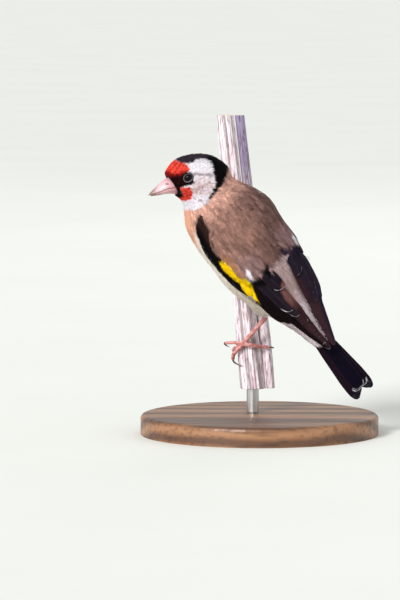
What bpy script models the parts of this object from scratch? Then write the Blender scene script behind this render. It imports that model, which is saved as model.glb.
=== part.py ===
# European goldfinch gripping a cut length of dry double stem, held by a plain display stand.
# The blender scene is in metres and +Z up, and every size below is in millimetres.
# -Y is the side that a viewer sees first, and the origin is the middle of the base's underside.

import math

import bmesh
import bpy
from mathutils import Vector
from mathutils.bvhtree import BVHTree

MM = 0.001
GAP = 0.3  # clearance between pieces that touch
SMOOTH_ANGLE = 32.0

# Bird as a whole
BODY_PITCH = 52.0  # rise of the back above the horizontal, in degrees
BACK_TURN = 25.0  # how far the back is turned from the viewer towards the bird's right side
TORSO_CENTRE = Vector((-5.1, -14.0, 76.8))
HEAD_CENTRE = Vector((-24.8, -15.0, 103.4))
HEAD_FORWARD = Vector((-0.965, -0.20, -0.17)).normalized()  # the head looks over the left shoulder
HEAD_ROLL = 3.0  # tilt of the crown towards the viewer, in degrees

# Torso: distance along the back from its centre, middle's height, half width, rise of the back, drop of the belly
TORSO_STATIONS = [
    (36.0, 0.9, 5.5, 3.6, 5.5),
    (33.0, 0.9, 8.6, 6.0, 8.6),
    (28.0, 0.6, 10.6, 8.8, 10.8),
    (22.0, 0.2, 13.4, 11.4, 13.6),
    (14.0, 0.0, 16.3, 13.4, 16.4),
    (6.0, 0.0, 17.4, 14.2, 17.6),
    (-4.0, 0.0, 17.2, 14.2, 17.4),
    (-14.0, 0.0, 15.4, 12.8, 15.6),
    (-22.0, 0.0, 12.6, 10.4, 12.6),
    (-30.0, 0.3, 9.4, 7.4, 9.0),
    (-38.0, 0.6, 6.4, 4.6, 5.4),
    (-46.0, 0.6, 4.4, 2.9, 3.4),
    (-53.0, 0.3, 2.6, 1.6, 1.9),
]
# Swellings of the body: share, place along the back, reach ahead of it and behind it,
# degrees from the back's midline (left is positive), reach in degrees, on both sides or one.
SWELLINGS = [
    (0.145, 12.5, 5.5, 9.0, -58.0, 34.0, False),
    (0.09, 21.5, 4.5, 4.5, 105.0, 40.0, True),
    (-0.065, 3.0, 8.5, 8.5, 112.0, 34.0, True),
]
# Head: distance forward of its centre, half width, rise of the crown, drop of the throat
HEAD_STATIONS = [
    (-13.2, 2.6, 2.6, 2.4),
    (-11.6, 5.6, 5.0, 6.4),
    (-8.0, 8.6, 8.0, 9.4),
    (-3.0, 9.6, 10.3, 10.2),
    (2.0, 9.6, 10.7, 9.6),
    (6.5, 8.7, 10.3, 7.6),
    (8.5, 7.7, 9.5, 6.1),
    (10.0, 6.8, 8.7, 4.8),
    (11.5, 5.6, 7.3, 3.7),
    (13.4, 4.0, 4.6, 2.6),
    (14.4, 2.4, 2.6, 1.6),
]
NECK_TOP, NECK_BASE, RUMP_FRONT, TAIL_ROOT = 26.5, 17.5, -27.0, -38.5  # cuts across the body

# Bill
BILL_BASE = Vector((-35.0, 0.0, 101.5))  # middle of the bill's base, seen from the viewer's side
BILL_LENGTH = 10.6
BILL_DROOP = 22.5
BILL_HALF_WIDTH, BILL_RISE, BILL_DEPTH = 3.5, 4.0, 3.1
NOSTRIL_FORWARD, NOSTRIL_UP, NOSTRIL_SIDE, NOSTRIL_RADIUS = 1.9, 1.7, 2.7, 0.5

# Eyes
EYE_RADIUS = 2.3
EYE_FORWARD, EYE_UP = 5.5, 2.7
EYE_DEPTH = 1.75  # how far its middle lies under the plumage of the cheek
LID_RADIUS, LID_THICKNESS = 1.98, 0.42

# Wings: distance along the back, half width and rise of the surface that the folded feathers lie on
WING_STATIONS = [
    (24.0, 13.2, 11.4),
    (14.0, 16.4, 13.6),
    (6.0, 17.7, 14.5),
    (-4.0, 18.0, 14.7),
    (-12.0, 17.8, 14.4),
    (-20.0, 16.8, 13.2),
    (-29.0, 15.1, 11.2),
    (-37.0, 12.7, 9.4),
    (-43.0, 10.3, 8.1),
    (-50.0, 7.6, 7.0),
    (-60.0, 5.0, 6.0),
]
# Folded wing's outline: distance along the back, inner and outer edge as degrees from the back's midline
WING_EDGES = [
    (21.0, 50.0, 60.0),
    (18.5, 42.0, 72.0),
    (14.5, 36.0, 80.0),
    (9.0, 31.0, 84.0),
    (4.0, 27.0, 83.5),
    (-2.0, 23.0, 79.5),
    (-8.0, 17.0, 71.0),
    (-14.0, 11.5, 66.0),
    (-20.0, 10.0, 60.0),
    (-26.0, 9.5, 58.0),
    (-32.0, 9.0, 53.0),
    (-37.0, 9.0, 43.0),
    (-42.0, 9.0, 33.0),
    (-49.0, 9.0, 19.0),
    (-52.0, 10.0, 15.0),
]
ARM_DEPTH = 1.9
ARM_FULL, ARM_END = 6.0, -18.0  # where the arm starts to thin towards its end, and its end
VANE_THICKNESS = 0.55
SHINGLE_TILT = 0.2  # rise of a feather's free edge over the next, for each unit of its width
VANE_ROWS = (0.0, 0.4, 0.75, 0.93, 1.0)
VANE_OUTLINE = [(0.0, 0.55), (0.4, 0.95), (0.75, 1.0), (0.93, 0.72), (1.0, 0.3)]
# Tiers of feathers from the lowest: how many, then root and tip of the innermost and of the outermost,
# each as (distance along the back, degrees from its midline), then width and height over the wing's surface
TIERS = [
    (6, (-12.0, 30.0), (-38.0, 22.0), (-15.0, 50.0), (-52.0, 13.0), 5.4, -1.15),
    (5, (-11.0, 30.0), (-33.5, 25.0), (-12.0, 55.0), (-32.5, 46.0), 5.6, -0.75),
    (3, (-7.0, 22.0), (-20.0, 19.0), (-8.0, 38.0), (-29.5, 30.0), 5.6, -0.1),
    (3, (3.0, 64.0), (-16.0, 60.0), (9.0, 78.0), (-10.0, 70.0), 4.4, -0.7),
    (6, (4.0, 32.0), (-9.5, 29.0), (8.0, 70.0), (-6.0, 66.0), 5.2, -0.1),
]

# Tail
TAIL_START = -38.9
TAIL_SWING, TAIL_DIP, TAIL_SHIFT = -1.5, 0.0, -0.6  # turn towards the bird's left and towards its belly, in degrees
TAIL_FEATHERS = 6  # on each side
TAIL_CENTRAL_LENGTH, TAIL_FORK = 33.6, 3.0
TAIL_FEATHER_WIDTH = 6.4
TAIL_OUTLINE = [(0.0, 0.55), (0.4, 0.84), (0.75, 1.0), (0.93, 0.86), (1.0, 0.42)]
TAIL_STACK_STEP = 0.3  # height of each feather over the next

# Perch: height, left-right and front-back place, and radius
MAIN_STEM = [(18.0, -2.7, 4.3, 5.1), (35.0, -4.4, 5.2, 4.8), (76.0, -8.6, 8.2, 4.2), (128.0, -13.9, 11.6, 3.5)]
SIDE_STEM = [(18.0, 3.7, 5.6, 2.6), (35.0, 2.4, 6.6, 2.5), (76.0, -2.2, 9.8, 2.2), (128.0, -8.0, 12.6, 1.9)]

# Stand
BASE_RADIUS, BASE_HEIGHT, BASE_ROUNDING = 48.0, 8.0, 1.6
ROD_RADIUS = 2.5

# Colour, roughness and metallic value by the start of a node's name
FINISHES = {
    "head": ((0.72, 0.10, 0.05), 0.8, 0.0),
    "neck": ((0.50, 0.33, 0.22), 0.85, 0.0),
    "torso": ((0.34, 0.20, 0.13), 0.85, 0.0),
    "rump": ((0.62, 0.52, 0.46), 0.85, 0.0),
    "thigh": ((0.66, 0.46, 0.30), 0.85, 0.0),
    "wing": ((0.020, 0.017, 0.024), 0.5, 0.0),
    "tail": ((0.014, 0.014, 0.026), 0.5, 0.0),
    "bill": ((0.76, 0.57, 0.50), 0.4, 0.0),
    "eye": ((0.010, 0.008, 0.007), 0.08, 0.0),
    "tarsus": ((0.48, 0.24, 0.18), 0.5, 0.0),
    "foot": ((0.45, 0.22, 0.17), 0.5, 0.0),
    "claw": ((0.10, 0.05, 0.04), 0.35, 0.0),
    "perch": ((0.56, 0.49, 0.47), 0.9, 0.0),
    "stand_base": ((0.10, 0.05, 0.03), 0.4, 0.0),
    "stand_rod": ((0.55, 0.55, 0.56), 0.35, 1.0),
}

# Legs
TOE_RADIUS, TARSUS_RADIUS = 0.8, 0.9


def smooth_stations(stations, at):
    # Reads the rows of a table of stations at one position, along a smooth curve through them.
    rows = sorted(stations)
    at = min(max(at, rows[0][0]), rows[-1][0])
    i = max(k for k in range(len(rows) - 1) if rows[k][0] <= at)
    before, low, high, after = rows[max(i - 1, 0)], rows[i], rows[i + 1], rows[min(i + 2, len(rows) - 1)]
    span = high[0] - low[0]
    t = (at - low[0]) / span
    values = []
    for k in range(1, len(low)):
        slope_low = (high[k] - before[k]) / (high[0] - before[0]) * span
        slope_high = (after[k] - low[k]) / (after[0] - low[0]) * span
        values.append(
            (2 * t**3 - 3 * t**2 + 1) * low[k]
            + (t**3 - 2 * t**2 + t) * slope_low
            + (3 * t**2 - 2 * t**3) * high[k]
            + (t**3 - t**2) * slope_high
        )
    return values


def body_axes():
    pitch, turn = math.radians(BODY_PITCH), math.radians(BACK_TURN)
    forward = Vector((-math.cos(pitch), 0, math.sin(pitch)))
    across = Vector((math.sin(pitch), 0, math.cos(pitch)))
    back = Vector((0, -math.cos(turn), 0)) + across * math.sin(turn)
    return forward, back.cross(forward), back


FORWARD, LEFT, BACK = body_axes()


def head_axes():
    left = Vector((0, 0, 1)).cross(HEAD_FORWARD).normalized()
    up = HEAD_FORWARD.cross(left)
    roll = math.radians(HEAD_ROLL)
    return HEAD_FORWARD, left * math.cos(roll) - up * math.sin(roll), up * math.cos(roll) + left * math.sin(roll)


HEAD_AHEAD, HEAD_LEFT, HEAD_UP = head_axes()


def fullness(along, left, up):
    # How much further out than the even ovals the body reaches at this place.
    angle = math.degrees(math.atan2(left, up))
    scale = 1.0
    for share, middle, ahead, behind, centre, spread_by, both in SWELLINGS:
        reach = ahead if along > middle else behind
        turned = (abs(angle) if both else angle) - centre
        scale += share * math.exp(-((along - middle) / reach) ** 2 - (turned / spread_by) ** 2)
    return scale


def body_point(along, left, up):
    scale = fullness(along, left, up)
    return TORSO_CENTRE + FORWARD * along + LEFT * (left * scale) + BACK * (up * scale)


def head_point(ahead, left, up):
    return HEAD_CENTRE + HEAD_AHEAD * ahead + HEAD_LEFT * left + HEAD_UP * up


def wing_point(side, along, degrees, lift):
    # A point over the folded wing: side is 1 for the left wing and -1 for the right.
    half_width, rise = smooth_stations(WING_STATIONS, along)
    angle = math.radians(degrees)
    return body_point(along, side * (half_width + lift) * math.sin(angle), (rise + lift) * math.cos(angle))


def object_from(name, points, faces):
    mesh = bpy.data.meshes.new(name)
    mesh.from_pydata([Vector(p) * MM for p in points], [], faces)
    work = bmesh.new()
    work.from_mesh(mesh)
    bmesh.ops.recalc_face_normals(work, faces=work.faces)
    work.to_mesh(mesh)
    work.free()
    made = bpy.data.objects.new(name, mesh)
    bpy.context.scene.collection.objects.link(made)
    return made


def loft(name, rings):
    # A closed skin over rings of equally many points, with flat ends.
    count = len(rings[0])
    points = [p for ring in rings for p in ring]
    faces = []
    for r in range(len(rings) - 1):
        for k in range(count):
            low, high = r * count + k, r * count + (k + 1) % count
            faces += [(low, high, high + count), (low, high + count, low + count)]
    faces.append(tuple(range(count)))
    faces.append(tuple(range(len(points) - count, len(points))))
    return object_from(name, points, faces)


def oval_ring(middle, left, up, half_width, rise, drop, count):
    ring = []
    for k in range(count):
        angle = 2 * math.pi * k / count
        height = rise if math.cos(angle) > 0 else drop
        ring.append(middle + left * (half_width * math.sin(angle)) + up * (height * math.cos(angle)))
    return ring


def curve_through(points, steps):
    # Points along a smooth curve through the given ones.
    line = []
    for i in range(len(points) - 1):
        a, b = points[max(i - 1, 0)], points[i]
        c, d = points[i + 1], points[min(i + 2, len(points) - 1)]
        for s in range(steps):
            t = s / steps
            line.append(
                b * 1.0 + (c - a) * (t / 2) + (a * 2 - b * 5 + c * 4 - d) * (t * t / 2)
                + (b * 3 - a - c * 3 + d) * (t**3 / 2)
            )
    return line + [points[-1]]


def tube(name, line, radii, sides):
    # A round tube along a line, with a radius at each point.
    rings = []
    normal = None
    for i, point in enumerate(line):
        ahead = (line[min(i + 1, len(line) - 1)] - line[max(i - 1, 0)]).normalized()
        if normal is None:
            normal = ahead.orthogonal().normalized()
        normal = (normal - ahead * normal.dot(ahead)).normalized()
        other = ahead.cross(normal)
        turns = [2 * math.pi * k / sides for k in range(sides)]
        rings.append([point + (normal * math.cos(t) + other * math.sin(t)) * radii[i] for t in turns])
    return loft(name, rings)


def finished(made, name=None):
    # Applies an object's modifiers and keeps its largest closed surface.
    graph = bpy.context.evaluated_depsgraph_get()
    mesh = bpy.data.meshes.new_from_object(made.evaluated_get(graph))
    made.modifiers.clear()
    made.data = mesh
    if name:
        made.name = name
        mesh.name = name
    keep_largest(made)
    return made


def keep_largest(made):
    work = bmesh.new()
    work.from_mesh(made.data)
    bmesh.ops.remove_doubles(work, verts=work.verts, dist=1e-6)
    bmesh.ops.triangulate(work, faces=work.faces)
    seen, groups = set(), []
    for start in work.verts:
        if start.index in seen:
            continue
        group, queue = [], [start]
        seen.add(start.index)
        while queue:
            vert = queue.pop()
            group.append(vert)
            for edge in vert.link_edges:
                other = edge.other_vert(vert)
                if other.index not in seen:
                    seen.add(other.index)
                    queue.append(other)
        groups.append(group)
    groups.sort(key=len)
    for group in groups[:-1]:
        bmesh.ops.delete(work, geom=group, context="VERTS")
    work.to_mesh(made.data)
    work.free()


def united(name, pieces, solver="MANIFOLD"):
    # One body from closed pieces, by a single union on their collection.
    first, others = pieces[0], pieces[1:]
    group = bpy.data.collections.new(name + "_pieces")
    for piece in others:
        group.objects.link(piece)
    union = first.modifiers.new("union", "BOOLEAN")
    union.operation = "UNION"
    union.operand_type = "COLLECTION"
    union.collection = group
    union.solver = solver
    finished(first, name)
    for piece in others:
        bpy.data.objects.remove(piece)
    bpy.data.collections.remove(group)
    return first


def cut(made, cutter, solver="MANIFOLD", operation="DIFFERENCE"):
    take = made.modifiers.new("cut", "BOOLEAN")
    take.operation = operation
    take.object = cutter
    take.solver = solver
    return finished(made)


def copy_of(made, name):
    twin = bpy.data.objects.new(name, made.data.copy())
    bpy.context.scene.collection.objects.link(twin)
    return twin


def grown(made, distance):
    # A copy with its surface moved outwards, which cuts the clearance round that piece.
    twin = copy_of(made, made.name + "_grown")
    normals = [v.normal.copy() for v in twin.data.vertices]
    for vert, normal in zip(twin.data.vertices, normals):
        vert.co += normal * (distance * MM)
    return twin


def ball(name, middle, radius, rings=10):
    bpy.ops.mesh.primitive_uv_sphere_add(segments=rings * 2, ring_count=rings, radius=radius * MM, location=middle * MM)
    made = bpy.context.object
    made.name = name
    bpy.ops.object.transform_apply(location=True, rotation=True, scale=True)
    return made


def body_slab(name, low, high):
    # A block across the whole body between two distances along the back.
    size = 60.0
    corners = [(-size, -size), (size, -size), (size, size), (-size, size)]
    return loft(name, [[body_point(x, a, b) for a, b in corners] for x in (low, high)])


def torso_ring(along, count=28):
    middle, half_width, rise, drop = smooth_stations(TORSO_STATIONS, along)
    even = oval_ring(Vector((0, 0, middle)), Vector((0, 1, 0)), Vector((0, 0, 1)), half_width, rise, drop, count)
    return [body_point(along, spot[1], spot[2]) for spot in even]


def head_ring(ahead, count=24):
    half_width, rise, drop = smooth_stations(HEAD_STATIONS, ahead)
    return oval_ring(head_point(ahead, 0, 0), HEAD_LEFT, HEAD_UP, half_width, rise, drop, count)


def spread(low, high, count):
    return [low + (high - low) * k / (count - 1) for k in range(count)]


def whole_body():
    # Head and body as one smooth skin, before it is parted.
    trunk = loft("trunk", [torso_ring(x) for x in spread(-53.0, 36.0, 26)])
    skull = loft("skull", [head_ring(x) for x in spread(-13.2, 14.4, 16)])
    body = united("body", [trunk, skull])
    voxels = body.modifiers.new("even", "REMESH")
    voxels.mode = "VOXEL"
    voxels.voxel_size = 0.8 * MM
    soften = body.modifiers.new("soften", "SMOOTH")
    soften.factor = 0.5
    soften.iterations = 12
    fewer = body.modifiers.new("fewer", "DECIMATE")
    fewer.ratio = 0.07
    return finished(body, "body")


def wing_slab(name, side, low, high, margin, last, rows):
    # The wing's outline as one shell on the body. A margin makes the hollow that it lies in.
    rings = []
    columns = 7
    first = WING_EDGES[0][0]
    top_height = high if callable(high) else (lambda along: high)
    for along in spread(last - margin, first + margin, rows):
        inner, outer = smooth_stations(WING_EDGES, along)
        half_width, _ = smooth_stations(WING_STATIONS, along)
        extra = math.degrees(margin / half_width)
        angles = spread(inner - extra, outer + extra, columns)
        top = [wing_point(side, along, a, top_height(along)) for a in angles]
        under = [wing_point(side, along, a, low) for a in reversed(angles)]
        rings.append(top + under)
    return loft(name, rings)


def vane(side, root, tip, width, lift):
    # One feather on the folded wing. Its root and tip are each (along the back, degrees from its midline).
    tops, unders = [], []
    for share in VANE_ROWS:
        along = root[0] + (tip[0] - root[0]) * share
        degrees = root[1] + (tip[1] - root[1]) * share
        half_width, rise = smooth_stations(WING_STATIONS, along)
        angle = math.radians(degrees)
        radius = math.hypot(half_width * math.cos(angle), rise * math.sin(angle))
        half = width / 2 * smooth_stations(VANE_OUTLINE, share)[0]
        for edge in (-1, 0, 1):
            turned = degrees + math.degrees(edge * half / radius)
            height = lift + SHINGLE_TILT * edge * half + (0.1 if edge == 0 else 0.0)
            tops.append(wing_point(side, along, turned, height + VANE_THICKNESS / 2))
            unders.append(wing_point(side, along, turned, height - VANE_THICKNESS / 2))
    return plate("vane", tops, unders, len(VANE_ROWS), 3)


def plate(name, tops, unders, rows, columns):
    # A thin closed plate between two equal grids, split into triangles alike on both faces.
    count = rows * columns
    faces = []
    for r in range(rows - 1):
        for c in range(columns - 1):
            a = r * columns + c
            b, d, e = a + 1, a + columns, a + columns + 1
            faces += [(a, b, e), (a, e, d)]
            faces += [(count + a, count + e, count + b), (count + a, count + d, count + e)]
    edge = [c for c in range(columns)]
    edge += [r * columns + columns - 1 for r in range(1, rows)]
    edge += [(rows - 1) * columns + c for c in range(columns - 2, -1, -1)]
    edge += [r * columns for r in range(rows - 2, 0, -1)]
    for k, a in enumerate(edge):
        b = edge[(k + 1) % len(edge)]
        faces += [(a, count + a, count + b), (a, count + b, b)]
    return object_from(name, tops + unders, faces)


def between(first, last, share):
    return tuple(a + (b - a) * share for a, b in zip(first, last))


def arm_height(along):
    # The arm's top, which sinks under the feathers towards its end.
    share = min(max((ARM_FULL - along) / (ARM_FULL - ARM_END), 0.0), 1.0)
    return -0.15 - (ARM_DEPTH - 0.55) * share


def wing(side, name):
    # The arm and hand, with every tier of feathers rooted in them.
    pieces = [wing_slab("arm", side, -ARM_DEPTH, arm_height, 0.0, ARM_END, 10)]
    for count, root_in, tip_in, root_out, tip_out, width, lift in TIERS:
        for k in range(count):
            share = k / (count - 1)
            drop = -0.04 * k
            root, tip = between(root_in, root_out, share), between(tip_in, tip_out, share)
            pieces.append(vane(side, root, tip, width, lift + drop))
    return united(name, pieces)


def tail_axes():
    swing, dip = math.radians(TAIL_SWING), math.radians(TAIL_DIP)
    rear = -FORWARD * math.cos(swing) + LEFT * math.sin(swing)
    rear = rear * math.cos(dip) - BACK * math.sin(dip)
    left = (LEFT - rear * LEFT.dot(rear)).normalized()
    return rear, left, left.cross(rear)


def tail_vane(side, index):
    # One tail feather. The middle pair lies on top, and each further one lies lower and reaches further.
    rear, left, up = tail_axes()
    start = body_point(TAIL_START, TAIL_SHIFT, 0.9)
    share = index / (TAIL_FEATHERS - 1)
    length = TAIL_CENTRAL_LENGTH + TAIL_FORK * share**1.4
    sink = TAIL_STACK_STEP * (index + (0.5 if side < 0 else 0.0))
    tops, unders = [], []
    for t in VANE_ROWS:
        half = TAIL_FEATHER_WIDTH / 2 * smooth_stations(TAIL_OUTLINE, t)[0]
        centre = side * (0.3 + 0.5 * t + (0.9 + 1.6 * t) * share)
        for edge in (-1, 0, 1):
            across = centre + edge * half
            height = -0.012 * across * across - sink + (0.1 if edge == 0 else 0.0)
            spot = start + rear * (length * t) + left * across + up * height
            tops.append(spot + up * (VANE_THICKNESS / 2))
            unders.append(spot - up * (VANE_THICKNESS / 2))
    return plate("vane", tops, unders, len(VANE_ROWS), 3)


def tail(root):
    vanes = [tail_vane(side, index) for index in range(TAIL_FEATHERS) for side in (1, -1)]
    return united("tail", [root] + vanes)


def bill_axes():
    droop = math.radians(BILL_DROOP)
    flat = Vector((HEAD_FORWARD.x, HEAD_FORWARD.y, 0)).normalized()
    ahead = flat * math.cos(droop) - Vector((0, 0, 1)) * math.sin(droop)
    left = (HEAD_LEFT - ahead * HEAD_LEFT.dot(ahead)).normalized()
    return ahead, left, ahead.cross(left)


def bill_middle():
    base = head_point(0, 0, 0)
    reach = (BILL_BASE.x - base.x) / HEAD_AHEAD.x
    middle = base + HEAD_AHEAD * reach
    return Vector((BILL_BASE.x, middle.y, BILL_BASE.z))


def bill_half(name, upper):
    # Upper or lower half of the bill, a cone with a flat side along the line of the mouth.
    ahead, left, up = bill_axes()
    rings = []
    shares = [0.0, 0.15, 0.35, 0.55, 0.75, 0.9, 1.0] if upper else [0.0, 0.15, 0.35, 0.55, 0.75, 0.92]
    for t in shares:
        taper = 1 - 0.62 * t - 0.32 * t**2.2
        half_width = BILL_HALF_WIDTH * taper
        height = BILL_RISE * taper if upper else BILL_DEPTH * (1 - 0.94 * t**0.9)
        bend = -0.15 * t * t
        mouth = 0.5 * math.sin(math.pi * min(t * 1.6, 1.0)) * (1 - t)
        middle = bill_middle() + ahead * (BILL_LENGTH * t) + up * (bend + mouth - 0.9 * (1 - t))
        sign = 1 if upper else -1
        middle += up * (sign * GAP / 2)
        ring = []
        for k in range(9):
            angle = math.pi * k / 8
            ring.append(middle + left * (half_width * math.cos(angle)) + up * (sign * height * math.sin(angle)))
        rings.append(ring)
    return loft(name, rings)


def bill_base_block(name, back, front, low):
    # A block across the bill's base, which trims the face to a flat or trims the bill to meet it.
    ahead, left, up = bill_axes()
    tilt = math.radians(11.0)
    facing = ahead * math.cos(tilt) - up * math.sin(tilt)
    over = up * math.cos(tilt) + ahead * math.sin(tilt)
    size = 12.0
    corners = [(-size, low), (size, low), (size, size), (-size, size)]
    middle = bill_middle()
    return loft(name, [[middle + facing * x + left * a + over * b for a, b in corners] for x in (back, front)])


def cut_nostrils(half):
    ahead, left, up = bill_axes()
    for side in (1, -1):
        spot = bill_middle() + ahead * NOSTRIL_FORWARD + up * NOSTRIL_UP + left * (side * NOSTRIL_SIDE)
        pit = ball("pit", spot, NOSTRIL_RADIUS, 4)
        cut(half, pit)
        bpy.data.objects.remove(pit)


def make_bill(head):
    for name, upper in (("bill_upper", True), ("bill_lower", False)):
        half = bill_half(name, upper)
        trim = bill_base_block("trim", -14.0, GAP, -14.0)
        cut(half, trim)
        bpy.data.objects.remove(trim)
        if upper:
            cut_nostrils(half)
    trim = bill_base_block("trim", 0.0, 20.0, -BILL_DEPTH - 0.9)
    cut(head, trim)
    bpy.data.objects.remove(trim)


def make_eyes(head):
    # Each eye sits at a spot found on the cheek, with a lid round it.
    skin = BVHTree.FromPolygons(
        [v.co.copy() for v in head.data.vertices], [tuple(p.vertices) for p in head.data.polygons]
    )
    for side, name in ((1, "eye_left"), (-1, "eye_right")):
        start = head_point(EYE_FORWARD, 0, EYE_UP)
        spot = skin.ray_cast(start * MM, HEAD_LEFT * side)[0] / MM
        out = (HEAD_LEFT * side + HEAD_AHEAD * 0.34 + HEAD_UP * 0.12).normalized()
        middle = spot - out * EYE_DEPTH
        rim = middle + out * (EYE_DEPTH - 0.12)
        a = out.orthogonal().normalized()
        b = out.cross(a)
        turns = [2 * math.pi * k / 14 for k in range(14)]
        lid = tube_ring("lid", [rim + (a * math.cos(t) + b * math.sin(t)) * LID_RADIUS for t in turns], out)
        united("head", [head, lid])
        socket = ball("socket", middle, EYE_RADIUS + GAP, 8)
        cut(head, socket)
        bpy.data.objects.remove(socket)
        ball(name, middle, EYE_RADIUS, 8)


def tube_ring(name, line, out):
    # A closed round ring along a loop of points.
    count, sides = len(line), 5
    centre = sum(line, Vector()) / count
    points, faces = [], []
    for p in line:
        radial = (p - centre).normalized()
        for k in range(sides):
            angle = 2 * math.pi * k / sides
            points.append(p + (radial * math.cos(angle) + out * math.sin(angle)) * LID_THICKNESS)
    for i in range(count):
        for k in range(sides):
            a, b = i * sides + k, i * sides + (k + 1) % sides
            c, d = (a + sides) % (count * sides), (b + sides) % (count * sides)
            faces += [(a, b, d), (a, d, c)]
    return object_from(name, points, faces)


def stem_ring(stations, height, count, ridges):
    x, y, radius = smooth_stations(stations, height)
    ring = []
    for k in range(count):
        angle = 2 * math.pi * k / count
        out = radius * (1 - 0.05 * (1 + math.cos(ridges * angle + height / 17.0)) / 2)
        ring.append(Vector((x + out * math.sin(angle), y - out * math.cos(angle), height)))
    return ring


def perch():
    heights = spread(MAIN_STEM[0][0], MAIN_STEM[-1][0], 12)
    main = loft("main", [stem_ring(MAIN_STEM, z, 18, 6) for z in heights])
    heights[0] += 0.0
    side = loft("side", [stem_ring(SIDE_STEM, z, 12, 4) for z in heights])
    return united("perch_stem", [main, side])


def stem_surface(tree, degrees, height):
    # The perch's outside at an angle from the viewer's side, positive towards the left of the picture.
    x, y, _ = smooth_stations(MAIN_STEM, height)
    angle = math.radians(degrees)
    out = Vector((-math.sin(angle), -math.cos(angle), 0))
    centre = Vector((x, y, height))
    hit = tree.ray_cast((centre + out * 30.0) * MM, -out)[0]
    return centre, out, (hit / MM - centre).length


def grip_point(tree, degrees, height, lift, radius):
    centre, out, reach = stem_surface(tree, degrees, height)
    clear = GAP + 0.15 + radius + lift
    spot = centre + out * (reach + clear)
    for _ in range(12):
        near = (tree.find_nearest(spot * MM)[0] / MM - spot).length
        spot += out * max(clear - near, 0.0)
    return spot


TOES = {
    # Each toe: (degrees round the stem, height, stand-off from the bark) from the foot's middle to the claw's root
    "left": [
        [(20, 36.5, 0.6), (40, 36.8, 0.9), (62, 36.7, 2.0), (78, 36.4, 3.5)],
        [(20, 36.5, 0.6), (40, 34.2, 0.9), (60, 31.9, 1.2), (74, 30.0, 1.0)],
        [(20, 36.5, 0.6), (48, 35.0, 0.6), (84, 33.6, 0.5), (112, 32.8, 0.4)],
        [(20, 36.5, 0.6), (-4, 36.0, 0.25), (-34, 35.5, 0.1), (-58, 35.1, 0.0), (-74, 34.8, 0.0)],
    ],
    "right": [
        [(-88, 55.0, 0.6), (-112, 57.0, 0.3), (-140, 58.2, 0.2), (-168, 58.6, 0.2)],
        [(-88, 55.0, 0.6), (-112, 54.6, 0.3), (-146, 54.0, 0.2), (-182, 53.4, 0.2)],
        [(-88, 55.0, 0.6), (-110, 52.4, 0.3), (-138, 50.6, 0.2), (-164, 49.8, 0.2)],
        [(-88, 55.0, 0.6), (-66, 55.2, 0.2), (-40, 55.0, 0.1), (-14, 54.8, 0.0)],
    ],
}
TOE_THICKNESS = [0.95, 1.2, 0.95, 1.2]  # of each toe, as a share of the named radius
CLAW_BENDS = {
    # Each claw: degrees round the stem, rise and stand-off at its tip, past the toe's end
    "left": [(10, -1.8, 2.4), (-40, -2.6, 0.0), (30, -1.0, -0.1), (-24, -0.8, -0.1)],
    "right": [(-30, -0.4, -0.1), (-30, -0.8, -0.1), (-30, -0.8, -0.1), (26, -0.6, -0.1)],
}
ANKLES = {"left": Vector((2.4, -3.4, 47.4)), "right": Vector((5.2, 2.6, 67.0))}
THIGH_TOPS = {"left": (-15.0, 8.0, -8.0), "right": (-9.0, -9.0, -9.0)}


def leg(side, tree, torso_hollow):
    ankle = ANKLES[side]
    hub_spot = TOES[side][0][0]
    hub = grip_point(tree, *hub_spot, TOE_RADIUS)
    top = body_point(*THIGH_TOPS[side])
    # feathered thigh
    thigh_line = curve_through([top, top * 0.5 + ankle * 0.5, ankle + (top - ankle).normalized() * 0.6], 4)
    radii = [4.6 - 3.1 * (k / (len(thigh_line) - 1)) ** 0.9 for k in range(len(thigh_line))]
    thigh = tube("thigh_" + side, thigh_line, radii, 10)
    cut(thigh, torso_hollow)
    knob = ball("knob", ankle, 1.5, 8)
    cut(thigh, knob)
    bpy.data.objects.remove(knob)
    # bare lower leg
    run = (hub - ankle).normalized()
    tarsus_line = [ankle + run * 0.0, ankle + run * 1.2, ankle * 0.5 + hub * 0.5, hub - run * 1.6]
    tube("tarsus_" + side, tarsus_line, [1.05, 0.95, TARSUS_RADIUS * 0.92, TARSUS_RADIUS], 10)
    # foot with its toes
    toes = [ball("hub", hub, 1.3, 5)]
    for spots, thickness in zip(TOES[side], TOE_THICKNESS):
        radius = TOE_RADIUS * thickness
        line = [grip_point(tree, *spot, radius) for spot in curve_through([Vector(v) for v in spots], 3)]
        radii = [radius * (0.95 + 0.05 * math.cos(2.1 * k)) * (1 - 0.16 * k / len(line)) for k in range(len(line))]
        toes.append(tube("toe", line, radii, 6))
    united("foot_" + side, toes)


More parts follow.
